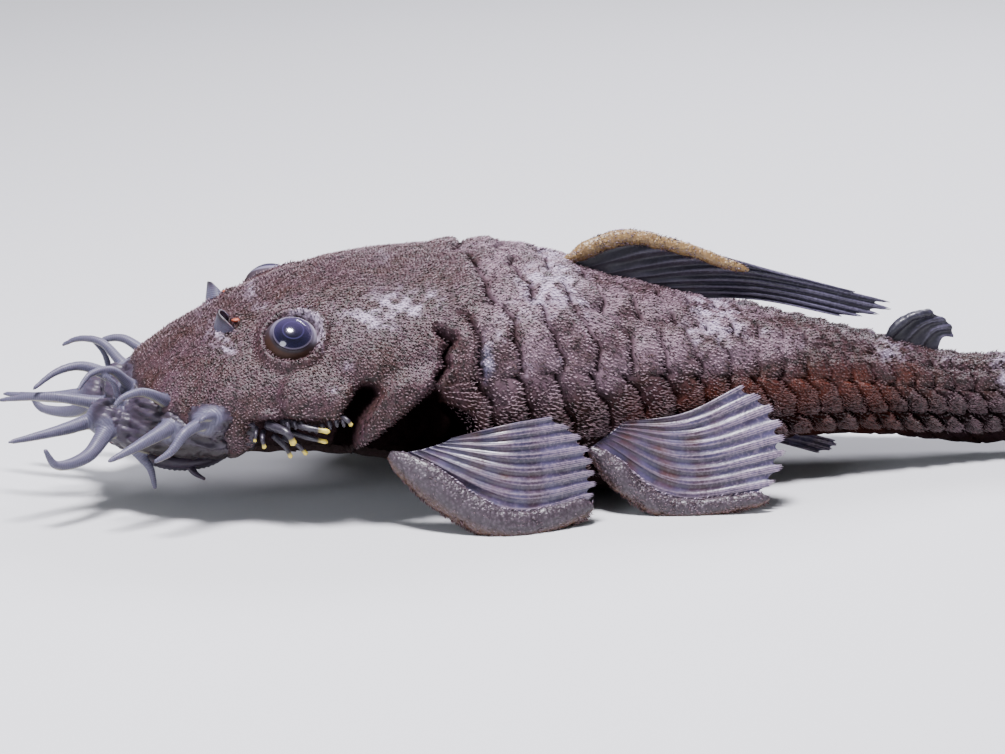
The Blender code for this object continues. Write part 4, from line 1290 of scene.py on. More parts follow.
@dataclass
class SkinCoat:
    """Lays out the odontodes of head and body: even on the head, in combs on the plates.

    Lengths and widths are in mm, rises in degrees off the skin.
    """

    shape: BodyShape
    spacing: float = 0.34
    seed: int = 21
    reach: float = 132.0
    columns: int = 160
    jitter: float = 0.28
    bald_at_eye: float = 2.75
    bald_at_nostril: float = 0.8
    tooth_length: float = 0.34
    tooth_width: float = 0.21
    spine_width: float = 0.17
    spine_gap: float = 0.26
    fan_gap: float = 0.4
    fan_bound: float = 60.0
    comb_part: float = 0.88
    fan_parts: tuple = (0.1, 0.95, 0.085)

    def frame_at(self, station: Array, angle: Array) -> tuple[Array, Array, Array, Marks]:
        """Point, outward normal and backward direction of the skin, with its marks."""
        place, marks = self.shape.skin(station, angle)
        back = self.shape.skin(station + 0.12, angle)[0] - self.shape.skin(station - 0.12, angle)[0]
        round_ = self.shape.skin(station, angle + 0.6)[0] - self.shape.skin(station, angle - 0.6)[0]
        normal = unit(np.cross(back, round_))
        middle = posed(np.column_stack([station, 0 * station, np.full(len(station), 8.5)]))
        normal[np.sum(normal * (place - middle), axis=1) < 0] *= -1
        return place, normal, unit(back), marks

    @staticmethod
    def combed(back: Array, normal: Array, spread: float, rng: np.random.Generator) -> Array:
        """Directions along the skin and backwards, a little spread."""
        flow = unit(back + spread * rng.normal(size=back.shape))
        return unit(flow - normal * np.sum(flow * normal, axis=1)[:, None])

    def atlas(self, station: Array, angle: Array) -> Array:
        """Place on an unwrap of the skin, rolled off as one sheet."""
        return np.column_stack([0.01 + 0.98 * station / BODY_LENGTH, 0.01 + 0.98 * (angle % 360.0) / 360.0])

    def spread(self, rng: np.random.Generator) -> tuple[Array, Array]:
        """Stations and angles in staggered, slightly jittered rows at an even spacing."""
        stations, angles = [], []
        turns = np.linspace(-self.reach, self.reach, self.columns)
        # rows of a triangular pattern are 0.87 of the spacing apart
        for number, row in enumerate(np.arange(1.8, BODY_LENGTH - 0.3, self.spacing * 0.87)):
            lengths = arc_lengths(self.shape.bare(np.full(self.columns, row), turns))
            count = int(lengths[-1] / self.spacing)
            moved = rng.uniform(-self.jitter, self.jitter, count)
            along = (np.arange(count) + 0.5 * (number % 2) + moved) * self.spacing
            angles.append(np.interp(along, lengths, turns))
            stations.append(row + rng.uniform(-self.jitter, self.jitter, count) * self.spacing)
        return np.concatenate(stations), np.concatenate(angles)

    def general(self) -> Roots:
        """The even coat of the whole body."""
        rng = np.random.default_rng(self.seed)
        station, angle = self.spread(rng)
        place, normal, back, marks = self.frame_at(station, angle)
        straight = self.shape.bare(station, angle)
        trunk = step(32.0, 36.0, station)
        part = self.shape.plate_phase(station, angle)[0] % 1.0
        chance = rng.uniform(0, 1, len(station))
        keep = (marks["naked"] < 0.15 + 0.75 * chance) & (marks["belly"] < 0.5 * chance + 0.1)
        # no coat where the gaps are painted in shade
        keep &= ~((marks["hollow"] > 0.5) & (station < 34.5))
        seam = (part > self.comb_part) | (part < 0.09)
        keep &= ~(seam & (trunk > 0.5) & (chance > 0.12))
        low_plate = (turn_from_back(angle) > 68.0) & (self.shape.plated(straight, angle) > 0.5)
        keep &= ~(low_plate & (station < 58.0) & (chance > 0.62))
        bald = [(eye, self.bald_at_eye) for eye in self.shape.eye_middles()]
        bald += [(nostril, self.bald_at_nostril) for nostril in self.shape.nostril_middles()]
        for middle, radius in bald:
            keep &= np.linalg.norm(straight - middle, axis=1) > radius
        flow = self.combed(back, normal, 0.25, rng)
        length = (self.tooth_length + 0.04 * trunk) * rng.uniform(0.75, 1.3, len(station))
        length *= 1 - 0.3 * step(10.0, 3.0, station)
        width = np.full(len(station), self.tooth_width) * rng.uniform(0.85, 1.2, len(station))
        rise = np.radians(34 - 10 * trunk + rng.normal(0, 9, len(station)))
        # lit sets how much painted glint the tips get and how much painted sheen the trunk's coat shows, in
        # clusters
        lit = 0.5 + 0.55 * ripple(straight, 0.8, 23) + 0.7 * (rng.uniform(0, 1, len(station)) - 0.5)
        lit = np.clip(lit, 0.0, 1.2) * (0.72 + 0.28 * trunk)
        marks["bright"] = np.clip(1.4 * marks["bright"] * lit, 0, 1)
        shine = lit * (1 - 0.6 * step(62.0, 76.0, station)) * (1 - 0.75 * marks["rust"])
        roots = Roots(place, normal, flow, length, width, rise, shine, self.atlas(station, angle), marks)
        return roots.keep(keep)

    def comb_places(self, rng: np.random.Generator) -> tuple[Array, Array]:
        """Stations and angles of the combs: a line on high plates, a fan on the low ones.

        Args:
            rng: The coat's random numbers.

        Returns:
            Stations in mm and angles in degrees.
        """
        shape = self.shape
        stations, angles = [], []
        for flank in (-1, 1):
            for lower, upper in zip(shape.row_bounds, shape.row_bounds[1:]):
                fanned = lower > self.fan_bound
                ranks = np.arange(*self.fan_parts) if fanned else (self.comb_part,)
                gap = self.fan_gap if fanned else self.spine_gap
                for plate, rank in [(plate, rank) for plate in range(-1, 24) for rank in ranks]:
                    # a degree is about 0.21 mm round the trunk
                    spine = np.arange(0.04, 0.97, gap / (0.21 * (upper - lower)))
                    if fanned and rank < 0.45:
                        spine = spine[::2]
                    share = spine + rng.normal(0, 0.004 if fanned else 0.015, len(spine))
                    if fanned:
                        hinge = 0.08 if plate < 0 else 0.92
                        share = hinge + (share - hinge) * (0.4 + 0.6 * rank)
                    angle = lower + np.clip(share, 0.02, 0.98) * (upper - lower)
                    stations.append(self.solve_station(plate + rank, angle))
                    angles.append(flank * angle)
        return np.concatenate(stations), np.concatenate(angles)

    def solve_station(self, phase: float, angle: Array) -> Array:
        """Stations at which the plates' phase is a given one, found in nine steps."""
        pitch = 2.6
        station = np.full(len(angle), 38.0 + pitch * phase)
        for _ in range(9):
            station = station + (phase - self.shape.plate_phase(station, angle)[0]) * pitch
        return station

    def combs(self) -> Roots:
        """Longer spines in a comb along the hind edge of every plate."""
        rng = np.random.default_rng(self.seed + 1)
        station, angle = self.comb_places(rng)
        inside = (station > 31.8) & (station < BODY_LENGTH - 0.6)
        inside &= self.shape.plated(self.shape.bare(station, angle), angle) > 0.5
        station, angle = station[inside], angle[inside]
        place, normal, back, marks = self.frame_at(station, angle)
        # the combs carry less of the painted shade
        marks["hollow"] = 0.45 * marks["hollow"]
        count = len(station)
        length = rng.uniform(0.5, 0.85, count) * np.interp(station, (35, 60, 94), (1.0, 0.85, 0.55))
        length *= np.interp(np.abs(angle), (0, 20, 45, 68, 80), (0.5, 0.6, 1.0, 1.0, 1.1))
        flow = self.combed(back, normal, 0.12, rng)
        rise = np.radians(20 + rng.normal(0, 6, count))
        shine = rng.uniform(0.5, 1.1, count) * (1 - 0.7 * marks["rust"])
        shine *= 1 - 0.6 * step(62.0, 76.0, station)
        width = np.full(count, self.spine_width)
        roots = Roots(place, normal, flow, length, width, rise, shine, self.atlas(station, angle), marks)
        return roots.keep(marks["belly"] < 0.5)


# Snout and bristles


# the middle of the snout, which the bristles' roots point at
HEART_STATION, HEART_HEIGHT = 7.5, 9.0
ROOT_SINK = 1.5


@dataclass(frozen=True)
class Bristle:
    """One fleshy tentacle of the snout, its knots in pose mm for the left side."""

    knots: tuple
    radius: float

    def line(self, flank: Flank, sway: Array, count: int = 40) -> Array:
        """Points along the bristle, its root sunk towards the head."""
        knots = np.array([(x - ORIGIN_STATION, flank.value * side, z) for x, side, z in self.knots])
        core = np.array((HEART_STATION - ORIGIN_STATION, 0.5 * knots[0][1], HEART_HEIGHT))
        knots[-1] += sway
        inward = unit(core - knots[0])
        return curve_points(np.vstack([knots[0] + ROOT_SINK * inward, knots]), np.linspace(0, 1, count))

    def radii(self, count: int = 40) -> Array:
        """The radius along the bristle, flared at its root and rounded at its tip."""
        t = np.linspace(0, 1, count)
        taper = self.radius * (1 - t) ** 0.85 + 0.2 * t + 0.75 * (1 - t) ** 7
        return taper * round_end(t, 1.004, 0.03)


BRISTLES = (
    Bristle(((0.2, 4.4, 9.2), (-4.0, 6.3, 8.6), (-9.1, 9.0, 8.4)), 1.15),
    Bristle(((0.8, 6.2, 8.4), (-1.4, 8.3, 6.5), (-4.4, 10.4, 6.3), (-5.7, 11.2, 8.3)), 1.05),
    Bristle(((6.2, 10.2, 9.4), (3.2, 12.2, 8.4), (0.1, 13.6, 7.3)), 1.05),
    Bristle(((9.9, 12.2, 10.6), (7.6, 14.6, 10.2), (6.0, 15.6, 8.6), (4.3, 15.9, 7.7)), 0.85),
    Bristle(((3.1, 4.0, 12.4), (1.3, 5.4, 14.2), (-0.8, 7.0, 14.3), (-2.2, 8.2, 13.0)), 0.6),
    Bristle(((2.2, 5.0, 11.0), (1.5, 5.9, 13.0), (0.4, 6.4, 14.0)), 0.45),
    Bristle(((6.0, 8.8, 11.9), (3.9, 10.4, 13.2), (2.0, 11.2, 13.0), (1.0, 11.6, 12.2)), 0.65),
    Bristle(((3.4, 5.8, 6.4), (4.7, 7.0, 4.7), (5.2, 7.2, 2.4)), 0.75),
)
MIDDLE_BRISTLES = (
    Bristle(((0.6, 1.4, 9.8), (-4.5, 0.8, 10.6), (-9.4, -1.6, 9.8)), 0.95),
    Bristle(((1.8, -0.4, 12.0), (-1.0, -0.4, 13.2), (-3.6, 0.2, 12.9), (-6.1, 1.0, 11.4)), 0.75),
)
STUB = Bristle(((10.6, 12.3, 10.9), (9.6, 13.9, 11.4), (8.9, 14.6, 11.2)), 0.6)
# the middle and the half sizes of each pad
PADS = (
    ((0.9, 4.6, 9.2), (2.1, 2.3, 1.9)),
    ((2.6, 2.2, 11.2), (1.8, 2.0, 1.5)),
    ((10.4, 11.7, 10.4), (2.2, 1.6, 1.7)),
)


@dataclass
class Snout:
    """The naked snout: its pads and bristles grown together in one soft skin."""

    shape: BodyShape
    voxel: float = 0.17
    end_station: float = 14.5
    rings: int = 60
    corners: int = 120
    sway: float = 0.6
    bristle_sides: int = 12

    def core(self) -> Mesh:
        """The front of the body, under the armoured skin where that covers it."""
        bm, ring, corner = grid_bmesh(self.rings, self.corners)
        station = np.linspace(0.0, self.end_station, self.rings + 1)[ring]
        angle = corner * 360.0 / self.corners
        straight = self.shape.bare(station, angle)
        naked = self.shape.naked_share(straight)
        belly = self.shape.belly_share(station, angle)
        covered = 1 - step(0.4, 0.85, np.maximum(naked, 0.55 * belly))
        lift = -0.16 - 0.6 * covered - 0.35 * belly * (1 - naked)
        shape_points(bm, posed(self.shape.bare(station, angle, lift)))
        close_up(bm)
        return bm

    def lines(self) -> list[tuple[Array, Array]]:
        """Middle line and radii of every bristle, the right side a little varied."""
        rng = np.random.default_rng(7)
        found = []
        for flank in Flank:
            for bristle in BRISTLES + (STUB,):
                sway = rng.uniform(-self.sway, self.sway, 3) * (flank is Flank.RIGHT)
                found.append((bristle.line(flank, sway), bristle.radii()))
        for bristle in MIDDLE_BRISTLES:
            found.append((bristle.line(Flank.LEFT, np.zeros(3)), bristle.radii()))
        return found

    def pad(self, centre: tuple, radii: tuple, flank: Flank) -> Mesh:
        """A fleshy pad that bristles branch from."""
        bm, ball = ball_bmesh(24, 16)
        middle = np.array((centre[0] - ORIGIN_STATION, flank.value * centre[1], centre[2]))
        shape_points(bm, ball * radii + middle)
        return bm

    def build(self, finish: Material) -> Piece:
        """Grow everything together and mark it."""
        lines = self.lines()
        parts = [self.core()]
        parts += [tube_bmesh(line, radii, self.bristle_sides) for line, radii in lines]
        parts += [self.pad(*pad, flank) for flank in Flank for pad in PADS]
        piece = piece_from("snout_skin", join_bmeshes(parts), finish)
        remesh = piece.modifiers.new("grow_together", "REMESH")
        remesh.mode = "VOXEL"
        remesh.voxel_size = self.voxel * MM
        relax = piece.modifiers.new("soften", "SMOOTH")
        relax.factor = 0.5
        relax.iterations = 4
        bake_modifiers(piece)
        self.mark(piece, lines)
        return settle(piece, "snout_skin", "snout")

    def mark(self, piece: Piece, lines: list[tuple[Array, Array]]) -> None:
        """Wrinkle the skin, and note how far along a bristle each point lies, where it is darker and where
        light is painted.

        Args:
            piece: The snout's skin.
            lines: Middle line and radii of every bristle.
        """
        points = mesh_points(piece)
        near = np.full(len(points), 9.0)
        along = np.zeros(len(points))
        for line, radii in lines:
            arc = arc_lengths(line)
            box = np.ptp(line, axis=0) / 2 + 2.5
            close = np.flatnonzero(np.all(np.abs(points - line.mean(0)) < box, axis=1))
            spans = np.linalg.norm(points[close][:, None] - line[None], axis=2)
            best = np.argmin(spans, axis=1)
            gap = spans[np.arange(len(close)), best] - radii[best]
            direction = unit(np.gradient(line, axis=0))[best]
            place = arc[best] + np.sum((points[close] - line[best]) * direction, axis=1)
            better = (gap < near[close]) & (place > 1.2)
            near[close[better]] = gap[better]
            along[close[better]] = place[better]
        bristle = step(0.9, 0.15, near)
        # painted shade under the snout; the folds and the snout's body are a darker tone of their own
        under = step(8.2, 6.4, points[:, 2]) * step(-57.0, -53.0, points[:, 0]) * (1 - bristle)
        fold = step(-0.2, 0.7, ripple(points * (1.0, 1.0, 3.0), 1.3, 4))
        body = step(-56.0, -52.0, points[:, 0]) * (1 - bristle)
        shade = np.clip(under + 0.45 * fold * body + 0.25 * body, 0, 1)
        normals = np.empty(len(points) * 3, np.float32)
        piece.data.vertex_normals.foreach_get("vector", normals)
        normals = normals.reshape(-1, 3)
        coarse = ripple(points * (1.0, 1.0, 2.2), 0.9, 8)
        fine = ripple(points * (1.2, 1.2, 1.9), 0.42, 10)
        wrinkle = 0.12 * coarse + 0.07 * fine
        wrinkle *= 0.2 + 0.8 * step(-59.0, -55.0, points[:, 0]) * (1 - bristle)
        wrinkle *= 1 - 0.75 * bristle
        move_points(piece, points + wrinkle[:, None] * normals)
        # painted light: a tan rim of light along the bristles' undersides
        edge = 0.7 * bristle * step(-0.55, -0.85, normals[:, 2])
        set_marks(piece, {"along": along, "bristle": bristle, "shade": shade, "edge": edge})


@dataclass
class Nostrils:
    """A raised flap of skin in front of each nostril, and a small orange lip behind it."""

    shape: BodyShape
    height: float = 1.9
    width: float = 1.15
    sides: int = 22
    rows: int = 12
    opening: float = 1.25
    sink: float = 0.45
    wall: float = 0.22
    lip_behind: float = 0.8
    lip_lift: float = -0.02
    lip_radii: tuple = (0.5, 0.34, 0.2)

    def flap(self, flank: Flank, finish: Material) -> Piece:
        """Build one flap, a half cone that opens backwards."""
        bm, across, up = grid_bmesh(self.sides, self.rows)
        middle = posed(self.shape.nostril_middles())[flank.index]
        outward = unit(middle - np.array((middle[0], 0.0, 9.0)))
        back = unit(np.array((1.0, 0.0, 0.45)) - outward * np.dot((1.0, 0.0, 0.45), outward))
        side = np.cross(outward, back)
        turn = (across / self.sides - 0.5) * math.pi * self.opening
        level = up / self.rows
        radius = self.width * (1.05 - 0.12 * level) + 0.08 * np.sin(3 * turn)
        rim = level * self.height * (1 - 0.7 * np.abs(turn / 1.97) ** 2.6)
        points = (
            middle + outward * (rim - self.sink)[:, None]
            - back * (radius * np.cos(turn) * (1 - 0.15 * level))[:, None]
            + side * (radius * np.sin(turn))[:, None]
        )
        shape_points(bm, points)
        bmesh.ops.recalc_face_normals(bm, faces=bm.faces)
        piece = piece_from("nostril_flap_" + flank.tag, bm, finish)
        wall = piece.modifiers.new("wall", "SOLIDIFY")
        wall.thickness = self.wall * MM
        wall.offset = 0.0
        bake_modifiers(piece)
        lifted = (mesh_points(piece) - middle) @ outward
        marks = {"bristle": step(1.5, 0.3, lifted), "shade": 0.95 * step(0.9, 1.5, lifted)}
        set_marks(piece, marks | {"along": lifted, "edge": 0 * lifted})
        return settle(piece, "snout_skin")

    def lip(self, flank: Flank, finish: Material) -> Piece:
        """Build the small orange lip of skin at the back of one nostril."""
        station, side = self.shape.nostril
        middle = posed(self.shape.pair(station + self.lip_behind, side, self.lip_lift))[flank.index]
        bm, ball = ball_bmesh(24, 12)
        none = np.zeros(len(ball))
        marks = {"along": none, "bristle": none + 1, "shade": none, "edge": none}
        shape_points(bm, ball * self.lip_radii + middle, marks)
        return settle(piece_from("nostril_lip_" + flank.tag, bm, finish), "snout_skin")


@dataclass
class Mouth:
    """The sucking disc under the head with its slit, papillae and corner barbels."""

    centre: tuple = (8.6, 0.0, 4.8)
    radii: tuple = (5.0, 6.0, 1.7)
    ceiling: float = 0.6
    papilla_height: float = 0.13
    papilla_turn: float = 6.5
    barbel: tuple = ((8.8, 5.2, 4.4), (9.2, 6.4, 4.0), (10.0, 7.6, 3.8))
    barbel_radii: tuple = (0.45, 0.15)

    def build(self, finish: Material) -> Piece:
        """Build the disc as one closed form with soft papillae."""
        bm, ball = ball_bmesh(120, 80)
        flat = np.hypot(ball[:, 0], ball[:, 1])
        points = ball * self.radii
        below = step(0.1, -0.4, ball[:, 2])
        slit = hump((points[:, 0] + 1.4) / 0.75) * step(3.6, 2.2, np.abs(points[:, 1]))
        dish = step(0.75, 0.3, flat) * 0.35
        waves = [np.sin(points[:, k] * self.papilla_turn) for k in (0, 1)]
        papillae = self.papilla_height * waves[0] * waves[1] * step(0.98, 0.8, flat)
        points[:, 2] += below * (slit + dish + papillae)
        points[:, 2] = np.minimum(points[:, 2], self.ceiling)
        shape_points(bm, posed(points + self.centre))
        for flank in Flank:
            knots = posed(np.array(self.barbel) * flank.mirror)
            line = curve_points(knots, np.linspace(0, 1, 12))
            bm = join_bmeshes([bm, tube_bmesh(line, np.linspace(*self.barbel_radii, 12), 10)])
        piece = piece_from("mouth_disc", bm, finish)
        zero = np.zeros(len(piece.data.vertices))
        set_marks(piece, {"along": zero, "bristle": zero, "shade": zero + 0.25, "edge": zero})
        return settle(piece, "lips", "mouth")


@dataclass
class Eye:
    """One eyeball: dark, wet and ringed, with the ring of skin round it.

    The bands are given in degrees from the eyeball's axis.
    """

    shape: BodyShape
    radius: float = 2.9
    stands_out: float = 1.0
    amber_band: tuple = (46.0, 52.0)
    white_band: tuple = (45.0, 49.0)
    glow_band: tuple = (41.0, 37.0)
    shade_band: tuple = (38.0, 42.0)

    def axis(self, flank: Flank) -> tuple[Array, Array]:
        """The eyeball's middle and its outward direction."""
        station = np.array([self.shape.eye[0]])
        angle = np.array([-flank.value * self.shape.eye[1]])
        outer = posed(self.shape.bare(station, angle, 1.0))[0]
        surface = posed(self.shape.bare(station, angle))[0]
        outward = unit(outer - surface)
        return surface + outward * (self.stands_out - self.radius), outward

    def build(self, flank: Flank, finish: Material) -> Piece:
        """Build the eyeball with its marks: the ring, the amber, the painted highlight crescent, the
        painted light of glow and the painted shade of lower.
        """
        middle, outward = self.axis(flank)
        bm, _ = ball_bmesh(96, 64, self.radius)
        turn = Vector((0, 0, 1)).rotation_difference(Vector(outward)).to_matrix()
        bmesh.ops.rotate(bm, cent=(0, 0, 0), matrix=turn, verts=bm.verts)
        local = bmesh_points(bm)
        bearing = unit(local)
        facing = np.degrees(np.arccos(np.clip(bearing @ outward, -1, 1)))
        low = unit(np.array((-0.35, 0.2 * flank.value, -0.9)))
        high = unit(np.array((0.6, 0.25 * flank.value, 0.75)))
        upright = unit(np.array((0.15, 0.0, 0.95)))
        off_axis = unit(bearing - outward)
        # amber on the lower rim, a painted highlight crescent on the upper rim, painted light over the
        # upper iris and painted shade on the lower ring
        amber = step(*self.amber_band, facing) * step(0.2, 0.8, off_axis @ low)
        painted_highlight = step(*self.white_band, facing) * step(-0.1, 0.5, off_axis @ high)
        rise = step(-0.3, 0.35, bearing @ upright - np.cos(np.radians(facing)) * (outward @ upright))
        marks = {
            "ring": facing / 90.0, "amber": 0.9 * amber, "painted_highlight": 0.55 * painted_highlight,
            "glow": 0.6 * rise * step(*self.glow_band, facing),
            "lower": (1 - rise) * step(*self.shade_band, facing),
        }
        shape_points(bm, local + middle, marks)
        return settle(piece_from("eyeball_" + flank.tag, bm, finish), "eyes", "eye_" + flank.tag)


@dataclass
class CheekHooks:
    """The hooked spines that stand out from under each cheek, and the bumps of its edge.

    A hook has its knots as station, side and height, and the radius of its root.
    """

    hooks: tuple = (
        (((22.0, 14.0, 12.2), (22.9, 15.3, 12.0), (23.4, 15.5, 11.4)), 0.34),
        (((17.0, 12.9, 11.3), (19.2, 14.9, 11.2), (21.3, 15.5, 10.9)), 0.42),
        (((17.4, 12.9, 10.3), (19.4, 14.7, 10.1), (21.1, 15.3, 9.8)), 0.38),
        (((15.6, 12.9, 11.0), (17.2, 14.9, 10.8), (17.9, 15.2, 9.6)), 0.55),
        (((16.2, 12.8, 9.8), (17.2, 14.1, 9.0), (17.7, 14.3, 8.0)), 0.36),
        (((17.2, 12.8, 9.6), (18.4, 14.2, 9.2), (19.2, 14.4, 8.3)), 0.38),
        (((15.2, 12.6, 10.2), (15.0, 13.7, 9.8), (15.2, 13.8, 8.9)), 0.34),
        (((14.6, 12.4, 10.6), (14.4, 13.4, 10.2), (14.3, 13.5, 9.5)), 0.26),
    )
    hook_points: int = 20
    bumps: int = 9
    bump_points: int = 9
    bump_radius: float = 0.26

    def hook(self, knots: Array, radius: float) -> Mesh:
        """One hook, with a small swelling at its tip."""
        t = np.linspace(0, 1, self.hook_points)
        radii = 0.88 * radius * (1 - 0.45 * t) + 0.05 * hump((t - 0.93) / 0.06)
        return tube_bmesh(curve_points(knots, t), radii * round_end(t, 1.01, 0.06), 12, marks={"out": t})

    def bump(self, share: float, mirror: Array) -> Mesh:
        """One bump, at a share of the lobe's lower edge from its front."""
        wave = 0.2 * math.sin(9 * share)
        foot = np.array((17.4 + 5.2 * share, 14.0 + 0.9 * share, 11.5 + 0.35 * share + wave))
        foot[2] -= 0.25 * math.sin(math.pi * share)
        knots = posed(np.array([foot, foot + (0.05, 0.25, -0.35), foot + (0.1, 0.3, -0.75)]) * mirror)
        t = np.linspace(0, 1, self.bump_points)
        radii = self.bump_radius * np.sqrt(np.clip(1.02 - t ** 3, 0, 1))
        out = np.linspace(0.2, 0.6, self.bump_points)
        return tube_bmesh(curve_points(knots, t), radii, 10, marks={"out": out})

    def build(self, flank: Flank, finish: Material) -> Piece:
        """Build one cheek's hooks and the bumps of the lobe's lower edge."""
        parts = [self.hook(posed(np.array(knots) * flank.mirror), radius) for knots, radius in self.hooks]
        parts += [self.bump(k / (self.bumps - 1), flank.mirror) for k in range(self.bumps)]
        return settle(piece_from("cheek_hooks_" + flank.tag, join_bmeshes(parts), finish), "skin")


# Fins


@dataclass
class RayedFin:
    """A fin of branched, beaded rays joined by a thin pleated membrane.

    The rays are given by root, middle and tip in pose mm, the first with a stout spine, whose
    radii are those of its root and its tip.
    """

    name: str
    rays: Array
    spine: tuple = (0.0, 0.0)
    ray_count: int = 9
    spine_depth: float = 1.0
    samples: int = 16
    rows: int = 120
    membrane: float = 0.16
    thickness: float = 0.5
    notch: float = 0.035
    pleat: float = 0.11
    bead_mm: float = 0.5
    outward: tuple = (0.0, -1.0, 0.0)
    first_fork: float = 0.12
    second_fork: float = 0.055
    clearance: float = 0.01

    def branch_lines(self, out: Array) -> Array:
        """Offsets of the four branches of a ray from its middle, as shares of the ray spacing."""
        first = self.first_fork * step(0.2, 0.6, out)
        second = self.second_fork * step(0.5, 0.85, out)
        return np.stack([-first - second, -first + second, first - second, first + second], axis=1)

    def ridge(self, centred: Array, out: Array) -> Array:
        """How much of a ray's full height each place has."""
        lines = self.branch_lines(out)
        width = (0.1 - 0.06 * step(0.1, 0.7, out))[:, None]
        return np.max(hump((centred[:, None] - lines) / width), axis=1)

    def point(self, column: Array, out: Array) -> Array:
        """A place of the fin's middle sheet; column runs from 0 to the last ray."""
        spans = len(self.rays) - 1
        ray = np.minimum(column.astype(int), spans - 1)
        share = (column - ray)[:, None]
        near = np.zeros((len(column), 3))
        far = np.zeros((len(column), 3))
        for number in range(len(self.rays)):
            for target, chosen in ((near, ray == number), (far, ray + 1 == number)):
                if chosen.any():
                    target[chosen] = curve_points(self.rays[number], out[chosen])
        return near * (1 - share) + far * share

    def build(self, finish: Material, slot: str, *nodes: str) -> Piece:
        """Build the sheet with its ridges as one piece.

        Args:
            finish: The fin's material.
            slot: Not used.
            *nodes: The CAD nodes that it stands for.

        Returns:
            The piece.
        """
        spans = self.ray_count - 1
        bm, column, row = grid_bmesh(spans * self.samples, self.rows)
        across = column / self.samples
        centred = across - np.rint(across)
        reach = row / self.rows
        tips = self.branch_lines(np.ones(len(reach)))
        edge = np.max(hump((centred[:, None] - tips) / 0.05), axis=1)
        scallop = 0.5 - 0.5 * np.cos(2 * math.pi * across)
        out = reach * (1 - self.notch * (1 - edge) - 0.6 * self.notch * scallop)
        points = self.point(across * (len(self.rays) - 1) / spans, out)
        ridge = self.ridge(centred, out)
        length = np.linalg.norm(self.rays[0][-1] - self.rays[0][0])
        beads = 0.5 + 0.5 * np.cos(out * length * 2 * math.pi / self.bead_mm + 1.3 * np.sin(across * 9))
        fold = -self.pleat * np.cos(2 * math.pi * across) * step(0.05, 0.35, out) * (1 - 0.4 * out)
        outward = unit(np.array(self.outward, float))
        points += outward * (-fold + 0.05 * ripple(points, 2.4, 6))[:, None]
        raised = self.thickness * (1 - 0.55 * out) - self.membrane
        thick = self.membrane + raised * ridge * (0.8 + 0.2 * beads)
        thick *= 1 - 0.4 * step(0.9, 1.0, reach)
        marks = {
            "ray": np.clip(ridge ** 1.6 * (0.6 + 0.5 * beads), 0, 1), "out": out,
            "stripe": np.clip(0.45 + 0.6 * ripple(points, 1.8, 14), 0, 1) * step(0.95, 0.4, out),
        }
        shape_points(bm, points, marks)
        bmesh.ops.recalc_face_normals(bm, faces=bm.faces)
        piece = piece_from(self.name, bm, finish)
        self.thicken(piece, thick)
        return settle(piece, slot, *nodes)

    def thicken(self, piece: Piece, thick: Array) -> None:
        """Give the sheet its thickness on both sides, and keep it off the floor.

        Args:
            piece: The fin's sheet.
            thick: The thickness at each point in mm.
        """
        walls = piece.vertex_groups.new(name="walls")
        full = float(thick.max())
        for index, value in enumerate(thick / full):
            walls.add([index], float(value), "REPLACE")
        wall = piece.modifiers.new("wall", "SOLIDIFY")
        wall.thickness = full * MM
        wall.offset = 0.0
        wall.vertex_group = walls.name
        bake_modifiers(piece)
        piece.vertex_groups.clear()
        placed = mesh_points(piece)
        placed[:, 2] = np.maximum(placed[:, 2], self.clearance)
        move_points(piece, placed)

    def spine_line(self, count: int = 60) -> tuple[Array, Array]:
        """Middle line and radii of the spine, slim where it leaves the body."""
        root, middle, tip = self.rays[0]
        run = np.array([root, middle, tip + (tip - middle) * 0.06])
        t = np.linspace(0, 1, count)
        radii = (self.spine[0] * (1 - t) ** 0.8 + self.spine[1] * t) * (0.45 + 0.55 * step(-0.02, 0.2, t))
        ends = round_end(t, 1.003, 0.06) * round_end(-t, 0.01, 0.05)
        return curve_points(run, t), radii * ends

    def build_spine(self, finish: Material, slot: str) -> Piece:
        """Build the stout first ray, deeper than it is thick, with an uneven surface.

        Args:
            finish: The spine's material.
            slot: Not used.

        Returns:
            The piece.
        """
        line, radii = self.spine_line(200)
        t = np.linspace(0, 1, len(line))
        bm = tube_bmesh(line, radii / math.sqrt(self.spine_depth), 40, self.spine_depth, {"out": t})
        points = bmesh_points(bm) / MM
        out = np.array([vert[bm.verts.layers.float["out"]] for vert in bm.verts])
        at = np.clip(out * (len(line) - 1), 0, len(line) - 1)
        bearing = unit(points - line[np.rint(at).astype(int)])
        uneven = 0.05 * ripple(points, 1.1, 15) + 0.03 * ripple(points, 0.5, 16)
        points = points + bearing * (uneven * step(0.0, 0.08, out) * step(1.0, 0.92, out))[:, None]
        points[:, 2] = np.maximum(points[:, 2], self.clearance)
        shape_points(bm, points, {"lower": step(0.25, 0.8, -bearing[:, 2])})
        return settle(piece_from(self.name + "_spine", bm, finish), slot)


